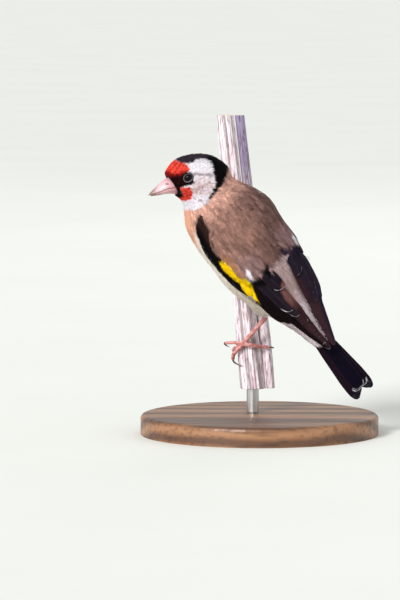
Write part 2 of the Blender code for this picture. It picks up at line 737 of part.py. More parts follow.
def claw(side, index, tree):
    # A claw runs on from its toe and curves over to its tip, clear of the bark.
    spots = TOES[side][index]
    degrees, height, _ = spots[-1]
    turn, drop, stand_off = CLAW_BENDS[side][index]
    toe_radius = TOE_RADIUS * TOE_THICKNESS[index]
    toe_line = [grip_point(tree, *spot, toe_radius) for spot in curve_through([Vector(v) for v in spots], 3)]
    run = (toe_line[-1] - toe_line[-2]).normalized()
    radius = TOE_RADIUS * 0.62
    start = toe_line[-1] + run * GAP
    tip = grip_point(tree, degrees + turn, height + drop, stand_off, radius * 0.4)
    _, out, _ = stem_surface(tree, degrees + turn, height + drop)
    chord = tip - start
    reach = chord.length
    lead = start + run * (0.38 * reach)
    trail = tip + out * (0.34 * reach) - chord * 0.22
    line, count = [], 9
    for k in range(count):
        t = k / (count - 1)
        spot = start * (1 - t) ** 3 + lead * (3 * t * (1 - t) ** 2) + trail * (3 * t * t * (1 - t)) + tip * t**3
        clear = GAP + 0.15 + radius * (1 - 0.8 * t)
        for _ in range(6):
            near = (tree.find_nearest(spot * MM)[0] / MM - spot).length
            spot = spot + out * max(clear - near, 0.0)
        line.append(spot)
    radii = [radius * (1 - 0.8 * (k / (count - 1)) ** 1.2) for k in range(count)]
    return tube(f"claw_{side}_{index + 1}", line, radii, 8)


def stand():
    bpy.ops.mesh.primitive_cylinder_add(
        vertices=48, radius=BASE_RADIUS * MM, depth=BASE_HEIGHT * MM, location=(0, 0, BASE_HEIGHT / 2 * MM)
    )
    base = bpy.context.object
    base.name = "stand_base"
    bpy.ops.object.transform_apply(location=True)
    work = bmesh.new()
    work.from_mesh(base.data)
    top = [e for e in work.edges if all(v.co.z > (BASE_HEIGHT - 0.1) * MM for v in e.verts)]
    bmesh.ops.bevel(work, geom=top, offset=BASE_ROUNDING * MM, segments=3, affect="EDGES", profile=0.5)
    work.to_mesh(base.data)
    work.free()
    bottom = MAIN_STEM[0]
    low, high = BASE_HEIGHT + GAP, bottom[0] - GAP
    x, y = bottom[1], bottom[2]
    turns = [2 * math.pi * k / 16 for k in range(16)]
    rings = [
        [Vector((x + ROD_RADIUS * math.sin(t), y + ROD_RADIUS * math.cos(t), z)) for t in turns] for z in (low, high)
    ]
    loft("stand_rod", rings)


def paint(made):
    start = next(key for key in FINISHES if made.name.startswith(key))
    colour, roughness, metallic = FINISHES[start]
    finish = bpy.data.materials.new(made.name)
    finish.use_nodes = True
    shader = finish.node_tree.nodes["Principled BSDF"]
    shader.inputs["Base Color"].default_value = (*colour, 1.0)
    shader.inputs["Roughness"].default_value = roughness
    shader.inputs["Metallic"].default_value = metallic
    made.data.materials.clear()
    made.data.materials.append(finish)
    made.data.polygons.foreach_set("use_smooth", [True] * len(made.data.polygons))
    made.data.set_sharp_from_angle(angle=math.radians(SMOOTH_ANGLE))


def main():
    for old in list(bpy.data.objects):
        bpy.data.objects.remove(old)

    body = whole_body()
    reach = 70.0
    spans = {
        "head": (NECK_TOP + GAP / 2, reach),
        "neck": (NECK_BASE + GAP / 2, NECK_TOP - GAP / 2),
        "torso": (RUMP_FRONT + GAP / 2, NECK_BASE - GAP / 2),
        "rump": (TAIL_ROOT + GAP / 2, RUMP_FRONT - GAP / 2),
        "tail_base": (-reach, TAIL_ROOT - GAP / 2),
    }
    parts = {}
    for name, (low, high) in spans.items():
        slab = body_slab("slab", low, high)
        parts[name] = cut(copy_of(body, name), slab, operation="INTERSECT")
        bpy.data.objects.remove(slab)
    bpy.data.objects.remove(body)

    make_bill(parts["head"])
    make_eyes(parts["head"])

    for side, name in ((1, "wing_left"), (-1, "wing_right")):
        wing(side, name)
        hollow = wing_slab("hollow", side, -ARM_DEPTH - GAP, 9.0, 0.4, WING_EDGES[-1][0], 18)
        for part in ("torso", "neck", "rump"):
            cut(parts[part], hollow)
        bpy.data.objects.remove(hollow)
    tail(parts["tail_base"])

    stem = perch()
    tree = BVHTree.FromPolygons(
        [v.co.copy() for v in stem.data.vertices], [tuple(p.vertices) for p in stem.data.polygons]
    )
    hollow = grown(parts["torso"], GAP + 0.1)
    for side in ("left", "right"):
        leg(side, tree, hollow)
        for index in range(4):
            claw(side, index, tree)
    bpy.data.objects.remove(hollow)
    stand()

    for made in bpy.data.objects:
        paint(made)


main()
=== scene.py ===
# Looks of a European goldfinch that grips a dry double stem on a plain stand.
# Sizes in this file are in millimetres, and each mesh is written in metres.

import itertools
import math

import bpy
import numpy as np
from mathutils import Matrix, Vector
from mathutils.bvhtree import BVHTree


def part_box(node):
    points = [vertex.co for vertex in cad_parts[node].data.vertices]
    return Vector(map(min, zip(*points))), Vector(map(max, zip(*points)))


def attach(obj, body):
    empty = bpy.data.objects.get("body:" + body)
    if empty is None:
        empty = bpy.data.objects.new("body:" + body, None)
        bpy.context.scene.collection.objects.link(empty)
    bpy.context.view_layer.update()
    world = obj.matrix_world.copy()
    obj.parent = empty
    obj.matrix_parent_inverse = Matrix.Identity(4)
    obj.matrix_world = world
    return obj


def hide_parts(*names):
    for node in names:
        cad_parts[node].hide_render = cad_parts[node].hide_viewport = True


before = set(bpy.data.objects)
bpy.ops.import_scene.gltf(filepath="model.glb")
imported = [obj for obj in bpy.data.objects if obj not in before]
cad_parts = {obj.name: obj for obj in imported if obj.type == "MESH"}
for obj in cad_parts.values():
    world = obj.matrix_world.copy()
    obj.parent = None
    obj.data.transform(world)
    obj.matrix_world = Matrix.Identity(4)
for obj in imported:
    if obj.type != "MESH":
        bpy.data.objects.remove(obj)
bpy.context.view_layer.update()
scene = bpy.context.scene
mm = 0.001
rng = np.random.default_rng(11)
sideWord = {1: "left", -1: "right"}
print("frame loaded:", len(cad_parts), "nodes")

# The bird's stations and axes repeat the part's source, so that every feather finds its place.
bird = {
    "torsoCentre": (-5.1, -14.0, 76.8),
    "bodyPitch": 52.0,
    "backTurn": 25.0,
    "headCentre": (-24.8, -15.0, 103.4),
    "headForward": (-0.965, -0.20, -0.17),
    "headRoll": 3.0,
    "ankleLeft": (2.4, -3.4, 47.4),
    "ankleRight": (5.2, 2.6, 67.0),
    # along the back: middle's height, half width, rise, drop
    "torso": [
        (36.0, 0.9, 5.5, 3.6, 5.5),
        (33.0, 0.9, 8.6, 6.0, 8.6),
        (28.0, 0.6, 10.6, 8.8, 10.8),
        (22.0, 0.2, 13.4, 11.4, 13.6),
        (14.0, 0.0, 16.3, 13.4, 16.4),
        (6.0, 0.0, 17.4, 14.2, 17.6),
        (-4.0, 0.0, 17.2, 14.2, 17.4),
        (-14.0, 0.0, 15.4, 12.8, 15.6),
        (-22.0, 0.0, 12.6, 10.4, 12.6),
        (-30.0, 0.3, 9.4, 7.4, 9.0),
        (-38.0, 0.6, 6.4, 4.6, 5.4),
        (-46.0, 0.6, 4.4, 2.9, 3.4),
        (-53.0, 0.3, 2.6, 1.6, 1.9),
    ],
    # share, place along the back, reach ahead and behind, degrees from the midline, reach in degrees, both sides
    "swellings": [
        (0.145, 12.5, 5.5, 9.0, -58.0, 34.0, False),
        (0.09, 21.5, 4.5, 4.5, 105.0, 40.0, True),
        (-0.065, 3.0, 8.5, 8.5, 112.0, 34.0, True),
    ],
    # along the back: half width and rise of the surface that the folded wing lies on
    "wing": [
        (24.0, 13.2, 11.4),
        (14.0, 16.4, 13.6),
        (6.0, 17.7, 14.5),
        (-4.0, 18.0, 14.7),
        (-12.0, 17.8, 14.4),
        (-20.0, 16.8, 13.2),
        (-29.0, 15.1, 11.2),
        (-37.0, 12.7, 9.4),
        (-43.0, 10.3, 8.1),
        (-50.0, 7.6, 7.0),
        (-60.0, 5.0, 6.0),
    ],
    # along the back: inner and outer edge of the folded wing, in degrees from the midline
    "wingEdges": [
        (21.0, 50.0, 60.0),
        (18.5, 42.0, 72.0),
        (14.5, 36.0, 80.0),
        (9.0, 31.0, 84.0),
        (4.0, 27.0, 83.5),
        (-2.0, 23.0, 79.5),
        (-8.0, 17.0, 71.0),
        (-14.0, 11.5, 66.0),
        (-20.0, 10.0, 60.0),
        (-26.0, 9.5, 58.0),
        (-32.0, 9.0, 53.0),
        (-37.0, 9.0, 43.0),
        (-42.0, 9.0, 33.0),
        (-49.0, 9.0, 19.0),
        (-52.0, 10.0, 15.0),
    ],
}


def unit(v):
    v = np.asarray(v, float)
    return v / (np.linalg.norm(v, axis=-1, keepdims=True) + 1e-12)


def smoothStep(low, high, value):
    t = np.clip((value - low) / (high - low), 0.0, 1.0)
    return t * t * (3 - 2 * t)


def mixed(a, b, share):
    # a and b are colours or rows of colours, share is one number for each row
    share = np.asarray(share, float)[..., None]
    return np.asarray(a, float) * (1 - share) + np.asarray(b, float) * share


def smoothRow(rows, at):
    # one row of a table of stations, read along a smooth curve
    i = max(k for k in range(len(rows) - 1) if rows[k][0] <= at)
    low, high = rows[i], rows[i + 1]
    before, after = rows[max(i - 1, 0)], rows[min(i + 2, len(rows) - 1)]
    span = high[0] - low[0]
    t = (at - low[0]) / span
    values = []
    for k in range(1, len(low)):
        slopeLow = (high[k] - before[k]) / (high[0] - before[0]) * span
        slopeHigh = (after[k] - low[k]) / (after[0] - low[0]) * span
        values.append(
            (2 * t**3 - 3 * t**2 + 1) * low[k]
            + (t**3 - 2 * t**2 + t) * slopeLow
            + (3 * t**2 - 2 * t**3) * high[k]
            + (t**3 - t**2) * slopeHigh
        )
    return values


def tableOf(stations, samples=320):
    rows = sorted(stations)
    places = np.linspace(rows[0][0], rows[-1][0], samples)
    return places, np.array([smoothRow(rows, min(at, rows[-1][0] - 1e-9)) for at in places])


def readTable(table, at):
    return [np.interp(at, table[0], table[1][:, k]) for k in range(table[1].shape[1])]


torsoTable, wingTable, edgeTable = (tableOf(bird[name]) for name in ("torso", "wing", "wingEdges"))
pitch, turn = math.radians(bird["bodyPitch"]), math.radians(bird["backTurn"])
forward = np.array([-math.cos(pitch), 0.0, math.sin(pitch)])
across = np.array([math.sin(pitch), 0.0, math.cos(pitch)])
back = np.array([0.0, -math.cos(turn), 0.0]) + across * math.sin(turn)
left = np.cross(back, forward)
torsoCentre, headCentre = np.array(bird["torsoCentre"]), np.array(bird["headCentre"])

headAhead = unit(bird["headForward"])
flatLeft = unit(np.cross([0, 0, 1], headAhead))
flatUp = np.cross(headAhead, flatLeft)
roll = math.radians(bird["headRoll"])
headLeft = flatLeft * math.cos(roll) - flatUp * math.sin(roll)
headUp = flatUp * math.cos(roll) + flatLeft * math.sin(roll)


def fullness(along, toLeft, up):
    # how much further out than the even ovals the body reaches
    angle = np.degrees(np.arctan2(toLeft, up))
    scale = np.ones(np.broadcast(along, angle).shape)
    for share, middle, ahead, behind, centre, spread, both in bird["swellings"]:
        reach = np.where(along > middle, ahead, behind)
        turned = (np.abs(angle) if both else angle) - centre
        scale = scale + share * np.exp(-(((along - middle) / reach) ** 2) - (turned / spread) ** 2)
    return scale


def bodyPoint(along, toLeft, up):
    along, toLeft, up = (np.asarray(v, float) for v in (along, toLeft, up))
    scale = fullness(along, toLeft, up)[..., None]
    along, toLeft, up = (v[..., None] for v in (along, toLeft, up))
    return torsoCentre + forward * along + left * (toLeft * scale) + back * (up * scale)


def headPoint(ahead, toLeft, up):
    return headCentre + headAhead * ahead + headLeft * toLeft + headUp * up


def bodyCoords(points):
    w = points - torsoCentre
    x, l, b = w @ forward, w @ left, w @ back
    scale = fullness(x, l, b)
    return x, l / scale, b / scale


def headCoords(points):
    w = points - headCentre
    return w @ headAhead, w @ headLeft, w @ headUp


def wingPoint(side, along, degrees, lift):
    halfWidth, rise = readTable(wingTable, along)
    angle = np.radians(degrees)
    return bodyPoint(along, side * (halfWidth + lift) * np.sin(angle), (rise + lift) * np.cos(angle))


def wingCoords(points):
    # distance along the back, degrees from the midline, side, and height over the wing's surface
    x, l, b = bodyCoords(points)
    halfWidth, rise = readTable(wingTable, x)
    degrees = np.degrees(np.arctan2(np.abs(l) / halfWidth, b / rise))
    angle = np.radians(degrees)
    lift = np.hypot(l, b) - np.hypot(halfWidth * np.sin(angle), rise * np.cos(angle))
    return x, degrees, np.where(l >= 0, 1.0, -1.0), lift


def insideShare(a, b, corners, softness):
    # 1 inside a polygon and 0 outside it, with a soft edge
    inside = np.zeros(len(a), bool)
    distance = np.full(len(a), 1e9)
    for (ax, ay), (bx, by) in zip(corners, corners[1:] + corners[:1]):
        crossing = (ay > b) != (by > b)
        meets = (bx - ax) * (b - ay) / (by - ay + (1e-12 if by == ay else 0.0)) + ax
        inside ^= crossing & (a < meets)
        dx, dy = bx - ax, by - ay
        t = np.clip(((a - ax) * dx + (b - ay) * dy) / (dx * dx + dy * dy + 1e-12), 0, 1)
        distance = np.minimum(distance, np.hypot(a - ax - dx * t, b - ay - dy * t))
    return smoothStep(-softness, softness, np.where(inside, distance, -distance))


def ripple(points, size, seed):
    # smooth seeded noise between about -1 and 1, with patches of the given size
    draw = np.random.default_rng(seed)
    total = np.zeros(len(points))
    for _ in range(7):
        direction = unit(draw.normal(size=3))
        wave = 2 * math.pi / (size * draw.uniform(0.7, 1.6))
        total += np.sin(points @ direction * wave + draw.uniform(0, 6.3))
    return total / 3.2


def linear(r, g, b):
    # colour as seen on a screen, 0 to 255, to the shader's scale
    shares = (r / 255, g / 255, b / 255)
    return np.array([c / 12.92 if c <= 0.04045 else ((c + 0.055) / 1.055) ** 2.4 for c in shares])


# Colours of the plumage
plumage = {
    # the mantle's brown as lit where the light falls on its top, a painted sunlit tone
    "mantleSunlit": linear(206, 158, 142),
    "mantle": linear(152, 114, 102),
    "mantleDark": linear(106, 79, 75),
    "scapular": linear(140, 112, 112),
    "breast": linear(228, 170, 142),
    "belly": linear(244, 234, 226),
    "flank": linear(250, 236, 220),
    "rumpWhite": linear(240, 222, 228),
    # the white undertail as it looks in painted shade, greyer and bluer
    "undertailShaded": linear(206, 198, 207),
    "white": linear(238, 232, 240),
    "cheek": linear(212, 182, 183),
    "dusky": linear(116, 98, 102),
    "black": linear(6, 4, 6),
    # paler than the black of the nape: painted highlight on the black crown
    "crown": linear(50, 40, 50),
    "red": linear(240, 84, 66),
    "redDeep": linear(180, 34, 26),
    "yellow": linear(226, 184, 4),
    "flight": linear(6, 4, 7),
    # the right wing's black with a painted bluish sheen
    "flightRightSheen": linear(28, 21, 42),
    "maroon": linear(112, 74, 70),
    "maroonDark": linear(50, 29, 33),
    "covertBrown": linear(70, 46, 40),
    "ochre": linear(206, 142, 82),
    "stripe": linear(186, 160, 160),
    "tertial": linear(30, 22, 32),
    "tail": linear(10, 6, 20),
}

# Markings of the head, as corners in millimetres ahead of its centre and above it
headMarks = {
    "head": [(18, -10.8), (4.6, -10.8), (1.5, -9.5), (-2.1, -7.3), (-5.3, -4.9), (-8.9, -2.2), (-10.8, 0.2),
             (-12.0, 1.6), (-14.5, 3.0), (-14.5, 14), (18, 14)],
    "crown": [(8.0, 14), (7.3, 9.4), (6.3, 8.8), (3.4, 8.0), (1.5, 8.4), (-0.2, 9.0), (-2.5, 8.9), (-4.6, 8.2),
              (-5.4, 7.3), (-10, 6.0), (-14.5, 6.0), (-14.5, 14)],
    "nape": [(-4.0, 9.0), (-5.5, 7.0), (-5.7, 4.1), (-5.3, 0.6), (-5.6, -2.1), (-3.1, -4.7), (-1.2, -6.6),
             (-2.1, -7.5), (-5.3, -5.1), (-8.9, -2.4), (-10.8, 0.0), (-12.0, 1.4), (-15, 2.8), (-15, 9)],
    "forehead": [(13.2, 5.6), (11.3, 5.5), (9.7, 4.4), (6.0, 4.5), (3.9, 5.5), (3.7, 7.3), (5.5, 8.7), (7.3, 9.4),
                 (8.5, 11.5), (15, 11)],
    "lores": [(14.5, 6.2), (11.3, 6.1), (9.7, 4.9), (7.5, 5.1), (6.0, 5.0), (5.2, 0.4), (6.4, -0.4), (8.4, -0.8),
              (9.6, -1.6), (14.5, -1.0)],
    "gape": [(14.0, -0.6), (8.8, -0.6), (8.5, -2.3), (8.2, -3.6), (7.6, -4.6), (8.6, -5.6), (9.6, -7.6), (14, -7.6)],
    "cheekRed": [(8.8, -0.8), (5.0, -1.0), (4.1, -3.3), (4.8, -5.9), (7.0, -7.0), (9.6, -7.4), (9.0, -5.6),
                 (8.4, -4.6), (8.6, -2.4)],
}
# Markings of the folded wing, as corners in millimetres along the back and degrees from its midline;
# the right wing is half hidden under its scapulars
wingMarks = {
    "brownLeft": [(26, 0), (26, 46), (20, 49), (14, 52), (10, 61), (6.5, 63), (1.5, 58.5), (-2, 55), (-6, 55),
                  (-8.5, 52), (-10.0, 46), (-11.4, 40), (-12.4, 30.5), (-11.4, 26), (-10.3, 18), (-9.2, 11),
                  (-11.8, 10.5), (-14.2, 9.5), (-20.8, 8.5), (-27.5, 7), (-34, 5.5), (-40, 3.5), (-42, 0)],
    "brownRight": [(26, 0), (26, 50), (20, 60), (14, 69), (10, 74), (6.2, 75), (2, 74), (-1, 72), (-4, 68),
                   (-7.5, 62), (-9.0, 54), (-11, 46), (-11.8, 36), (-11.2, 26), (-10.2, 18), (-9.6, 14),
                   (-12, 13.5), (-14.8, 13.5), (-20.8, 11.5), (-26.8, 9), (-33, 9), (-38, 7), (-42, 0)],
    "yellowLeft": [(2.5, 66.5), (1.5, 58), (-2, 55), (-6, 55.5), (-8.5, 53), (-10.5, 46), (-12.5, 47.5),
                   (-13.7, 51.5), (-17.5, 55.5), (-19.7, 57.5), (-16, 64), (-11, 64), (-9, 60.5), (-6, 63),
                   (-1, 69)],
    "yellowRight": [(-3, 84), (-4, 81), (-6, 78), (-8, 74), (-10, 70), (-12, 66), (-14, 63.5), (-17.5, 60.5),
                    (-19.7, 60), (-16, 67), (-11, 75), (-9, 78), (-6, 82)],
    "spotLeft": [(-5.4, 38.5), (-7.8, 36.5), (-9.6, 38), (-11.4, 40.5), (-11.3, 44), (-9.4, 43.5), (-7.2, 41.5)],
    "spotRight": [(-7.5, 53), (-9.2, 45.5), (-11.8, 44), (-12.6, 47), (-11.6, 53), (-9.3, 59)],
    "ochre": [(3, 58), (3, 50), (-3, 45), (-8, 45), (-9, 51), (-6, 56), (-2, 56)],
    "maroon": [(-18.0, 4), (-19.3, 14), (-22, 20.5), (-26, 22.5), (-31, 20.5), (-33, 27), (-38, 28), (-44, 25),
               (-50, 18), (-56, 12), (-56, 2)],
}
degreeWidth = 0.29  # millimetres over the wing for each degree


def trunkAngle(points):
    # degrees from the back's midline round the trunk, 0 on the back and 180 on the belly
    x, l, b = bodyCoords(points)
    middle, halfWidth, rise, drop = readTable(torsoTable, x)
    height = b - middle
    return np.degrees(np.arctan2(np.abs(l) / halfWidth, height / np.where(height > 0, rise, drop)))


def bodyColours(points):
    x, l, b = bodyCoords(points)
    angle = trunkAngle(points) + 3.0 * ripple(points, 7.0, 3)
    # paler towards the shoulders: painted sunlight on the top of the mantle
    colour = mixed(plumage["mantle"], plumage["mantleSunlit"], smoothStep(14, 23, x))
    # darker towards the rear, and painted shade down the right side, away from the light
    paintedShadeRight = smoothStep(2, -9, l) * smoothStep(22, 15, x)
    darker = 0.1 * smoothStep(12, 6, x) + 0.6 * smoothStep(3, -8, x) + 0.75 * paintedShadeRight
    colour = mixed(colour, plumage["mantleDark"], np.clip(darker, 0, 0.9))
    colour = mixed(colour, plumage["scapular"], 0.7 * smoothStep(1, -6, x) * smoothStep(3, 9, np.abs(l)))
    # fine streaks that run with the feathers
    grain = np.stack([x * 0.16, l, b], 1)
    streak = 0.6 * ripple(grain, 1.7, 4) + 0.5 * ripple(grain, 0.9, 14)
    # painted shade: the left side of the mantle, which faces the light, a little darker
    paintedShadeLeft = smoothStep(3, 10, l) * smoothStep(20, 12, x)
    colour = colour * ((1 + 0.42 * np.clip(streak, -1.2, 1.2)) * (1 - 0.13 * paintedShadeLeft))[:, None]
    # paler stripe between the folded wings
    stripe = smoothStep(-11, -14, x) * smoothStep(28, 24, np.degrees(np.arctan2(np.abs(l), b)))
    colour = mixed(colour, plumage["stripe"] * (1 + 0.12 * streak)[:, None], 0.9 * stripe)
    below = mixed(plumage["flank"], plumage["breast"], smoothStep(7, 16, x))
    below = mixed(below, plumage["belly"], smoothStep(112, 158, angle) * (0.9 - 0.25 * smoothStep(6, 22, x)))
    below = below * (1 + 0.07 * streak)[:, None]
    # pale rim of the flank along the wing's edge
    _, degrees, _, _ = wingCoords(points)
    outer = readTable(edgeTable, x)[1]
    rim = smoothStep(outer - 1, outer + 1, degrees) * smoothStep(outer + 17, outer + 5, degrees)
    below = mixed(below, plumage["belly"], 0.75 * rim * smoothStep(20, 15, x))
    colour = mixed(colour, below, np.maximum(smoothStep(64, 86, angle), rim * smoothStep(20, 15, x)))
    # white rear, greyer and bluer underneath with painted shade
    rear = mixed(plumage["rumpWhite"], plumage["undertailShaded"], smoothStep(70, 110, angle))
    colour = mixed(colour, rear, smoothStep(-24, -37, x + 1.5 * ripple(points, 5.0, 5)))
    return np.clip(colour, 0, 1)


def headColours(points, colour):
    s, _, u = headCoords(points)
    away = points - billBase
    # fine streaks that run away from the bill
    turned = unit(away) * 9 + billDistance(points)[:, None] * 0.10
    streak = 0.6 * ripple(turned, 0.75, 15) + 0.4 * ripple(points, 0.9, 16)
    s = s + 0.22 * ripple(points, 1.1, 6)
    u = u + 0.22 * ripple(points, 1.1, 7)
    inHead = insideShare(s, u, headMarks["head"], 0.5)
    face = np.tile(plumage["white"], (len(points), 1))
    cheek = np.exp(-(((s + 0.5) / 5.5) ** 2) - ((u + 1.6) / 4.2) ** 2)
    face = mixed(face, plumage["cheek"], np.clip(0.9 * cheek + 0.65 * streak * (0.4 + cheek), 0, 1))
    t = np.clip((2.9 - s) / 8.0, 0, 1)
    line = np.abs(u - (3.9 - 1.9 * t))
    dusky = (1 - smoothStep(0.25, 0.75, line)) * smoothStep(4.0, 2.6, s) * smoothStep(-6, -4, s)
    face = mixed(face, plumage["dusky"], 0.7 * dusky)
    face = face * (1 + 0.12 * streak)[:, None]
    lines = smoothStep(0.30, 0.75, streak) * smoothStep(6.5, 3.5, s) * smoothStep(2.4, 0.6, u)
    face = mixed(face, plumage["dusky"], 0.55 * lines)
    # painted shade under the chin: the face darker towards the bottom
    face = face * (1 - 0.14 * smoothStep(-3.5, -6.5, u))[:, None]
    for name, finish, soft in (
        # the crown's black with a painted highlight
        ("crown", "crown", 0.35),
        ("nape", "black", 0.35),
        ("forehead", "red", 0.3),
        ("cheekRed", "red", 0.3),
        ("lores", "black", 0.35),
        ("gape", "black", 0.35),
    ):
        share = insideShare(s, u, headMarks[name], soft)
        shade = plumage[finish]
        if name == "lores":
            reddish = 0.4 * smoothStep(3.4, 4.9, u) + 0.10 * np.clip(ripple(points, 1.1, 18), 0, 1)
            shade = mixed(shade, plumage["redDeep"], reddish)
        if finish == "red":
            deep = 0.35 + 0.9 * ripple(points, 0.7, 8) + 0.6 * smoothStep(6.4, 5.0, u) * smoothStep(0, 4, u)
            shade = mixed(plumage["red"], plumage["redDeep"], np.clip(deep, 0, 1))
        face = mixed(face, shade, share)
    eye = np.hypot(s - 5.0, u - 2.5) + 0.25 * ripple(points, 0.8, 19)
    face = mixed(face, plumage["black"], 1 - smoothStep(2.2, 3.0, eye))
    return mixed(colour, face, inHead)


def wingColours(points, vane=False):
    x, degrees, side, _ = wingCoords(points)
    x = x + 0.2 * ripple(points, 1.6, 9)
    a, b = x, degrees * degreeWidth
    marks = {name: [(c, d * degreeWidth) for c, d in corners] for name, corners in wingMarks.items()}
    onLeft = side > 0

    def share(name, soft):
        if name in marks:
            return insideShare(a, b, marks[name], soft)
        onLeftWing, onRightWing = (insideShare(a, b, marks[name + word], soft) for word in ("Left", "Right"))
        return np.where(onLeft, onLeftWing, onRightWing)

    # painted sheen: the right wing's black paler and bluer than the left
    colour = mixed(plumage["flight"], plumage["flightRightSheen"], np.where(onLeft, 0.0, 1.0))
    colour = mixed(colour, plumage["covertBrown"], 0.5 * smoothStep(2, 14, x) * smoothStep(72, 58, degrees))
    maroon = mixed(plumage["maroon"], plumage["maroonDark"], np.where(onLeft, smoothStep(-24, -33, x), 1.0))
    colour = mixed(colour, maroon, 0.9 * share("maroon", 0.9))
    colour = mixed(colour, plumage["yellow"], share("yellow", 0.3))
    brown = share("brown", 0.45)
    if vane:
        brown = brown * (1 - smoothStep(-11.5, -12.5, x) * smoothStep(24, 20, degrees))
    scapular = mixed(bodyColours(points), plumage["ochre"], 0.32 * share("ochre", 1.2) * onLeft)
    colour = mixed(colour, scapular, brown)
    return mixed(colour, plumage["white"], 0.85 * share("spot", 0.5)), brown


def wingShare(points):
    # 1 on the folded wing and 0 on the body beside it
    x, degrees, _, _ = wingCoords(points)
    inner, outer = readTable(edgeTable, x)
    share = smoothStep(inner - 2, inner + 2, degrees) * smoothStep(outer + 1, outer - 1, degrees)
    return share * smoothStep(22.5, 20.5, x) * smoothStep(-53, -50, x)


def underWing(points):
    # 1 where the pale feathers of the stripe between the wings run on under the wings' inner edges
    x, degrees, side, _ = wingCoords(points)
    edge = readTable(edgeTable, x)[0] + np.where(side > 0, 2.0, 8.0)
    return smoothStep(-12, -14, x) * smoothStep(edge + 3, edge, degrees)


def coatColours(points):
    colour = bodyColours(points)
    onWing, _ = wingColours(points)
    colour = mixed(colour, onWing, wingShare(points) * (1 - underWing(points)))
    return np.clip(headColours(points, colour), 0, 1)


# Mesh helpers


def deselectAll():
    if bpy.context.object and bpy.context.object.mode != "OBJECT":
        bpy.ops.object.mode_set(mode="OBJECT")
    bpy.ops.object.select_all(action="DESELECT")


def makeActive(piece):
    deselectAll()
    piece.select_set(True)
    bpy.context.view_layer.objects.active = piece


def applyModifier(piece, kind, **settings):
    makeActive(piece)
    modifier = piece.modifiers.new(kind.lower(), kind)
    for key, value in settings.items():
        setattr(modifier, key, value)
    bpy.ops.object.modifier_apply(modifier=modifier.name)


def meshRows(mesh, field):
    rows = np.empty(len(mesh.vertices) * 3)
    mesh.vertices.foreach_get(field, rows)
    return rows.reshape(-1, 3)


def meshPoints(mesh):
    return meshRows(mesh, "co") / mm


def meshNormals(mesh):
    return meshRows(mesh, "normal")


def setPoints(mesh, points):
    mesh.vertices.foreach_set("co", (np.asarray(points) * mm).ravel())
    mesh.update()


def setTint(mesh, colours):
    layer = mesh.color_attributes.new("tint", "FLOAT_COLOR", "POINT")
    rgba = np.ones((len(colours), 4))
    rgba[:, :3] = colours
    layer.data.foreach_set("color", rgba.ravel())


def setValue(mesh, name, values, kind="FLOAT", field="value"):
    layer = mesh.attributes.new(name, kind, "POINT")
    layer.data.foreach_set(field, np.asarray(values, np.float32).ravel())


def setUv(mesh, name, byVertex):
    loops = np.empty(len(mesh.loops), np.int32)
    mesh.loops.foreach_get("vertex_index", loops)
    layer = mesh.uv_layers.new(name=name)
    layer.data.foreach_set("uv", byVertex[loops].ravel())


def meshPiece(name, points, triangles):
    # a new piece from arrays of points and triangles
    mesh = bpy.data.meshes.new(name)
    points = np.asarray(points, float)
    triangles = np.asarray(triangles, np.int32)
    mesh.vertices.add(len(points))
    mesh.vertices.foreach_set("co", (points * mm).ravel())
    mesh.loops.add(triangles.size)
    mesh.loops.foreach_set("vertex_index", triangles.ravel())
    mesh.polygons.add(len(triangles))
    mesh.polygons.foreach_set("loop_start", np.arange(len(triangles), dtype=np.int32) * 3)
    mesh.polygons.foreach_set("use_smooth", np.ones(len(triangles), bool))
    mesh.update(calc_edges=True)
    mesh.validate()
    piece = bpy.data.objects.new(name, mesh)
    scene.collection.objects.link(piece)
    return piece


def gridTriangles(rows, columns, offset=0, flip=False, closed=False):
    # two triangles for each cell of a grid of points
    r = np.arange(rows - 1)[:, None]
    c = np.arange(columns if closed else columns - 1)[None, :]
    a = (r * columns + c + offset).ravel()
    b = (r * columns + (c + 1) % columns + offset).ravel()
    d, e = a + columns, b + columns
    first, second = np.stack([a, b, e], 1), np.stack([a, e, d], 1)
    triangles = np.concatenate([first, second])
    return triangles[:, ::-1] if flip else triangles


def tubeTriangles(rows, columns):
    # a tube of rings with a fan over each end
    ends = [
        (start, start + k, start + k + 1)
        for start in (0, (rows - 1) * columns)
        for k in range(1, columns - 1)
    ]
    return np.concatenate([gridTriangles(rows, columns, closed=True), np.array(ends)])


def meshTriangles(mesh, corners="vertices"):
    mesh.calc_loop_triangles()
    rows = np.empty(len(mesh.loop_triangles) * 3, np.int32)
    mesh.loop_triangles.foreach_get(corners, rows)
    return rows.reshape(-1, 3)


def inEditMode(piece, *steps):
    # mesh operators with their settings, on all of a piece
    makeActive(piece)
    bpy.ops.object.mode_set(mode="EDIT")
    bpy.ops.mesh.select_all(action="SELECT")
    for operator, settings in steps:
        operator(**settings)
    bpy.ops.object.mode_set(mode="OBJECT")


evenNormals = (bpy.ops.mesh.normals_make_consistent, {"inside": False})


def faceOutwards(piece):
    inEditMode(piece, evenNormals)
    a, b, c = (meshPoints(piece.data)[corner] for corner in meshTriangles(piece.data).T)
    if (a * np.cross(b, c)).sum() < 0:
        piece.data.flip_normals()


def finishPiece(piece, material, nodes=()):
    piece.data.materials.clear()
    piece.data.materials.append(material)
    piece.data.polygons.foreach_set("use_smooth", [True] * len(piece.data.polygons))
    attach(piece, "root")
    if nodes:
        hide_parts(*nodes)
    return piece


def nodeCopy(name):
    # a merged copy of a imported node's mesh
    piece = bpy.data.objects.new(name + "Copy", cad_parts[name].data.copy())
    scene.collection.objects.link(piece)
    piece.data.materials.clear()
    inEditMode(piece, (bpy.ops.mesh.remove_doubles, {"threshold": 1e-6}), evenNormals)
    return piece


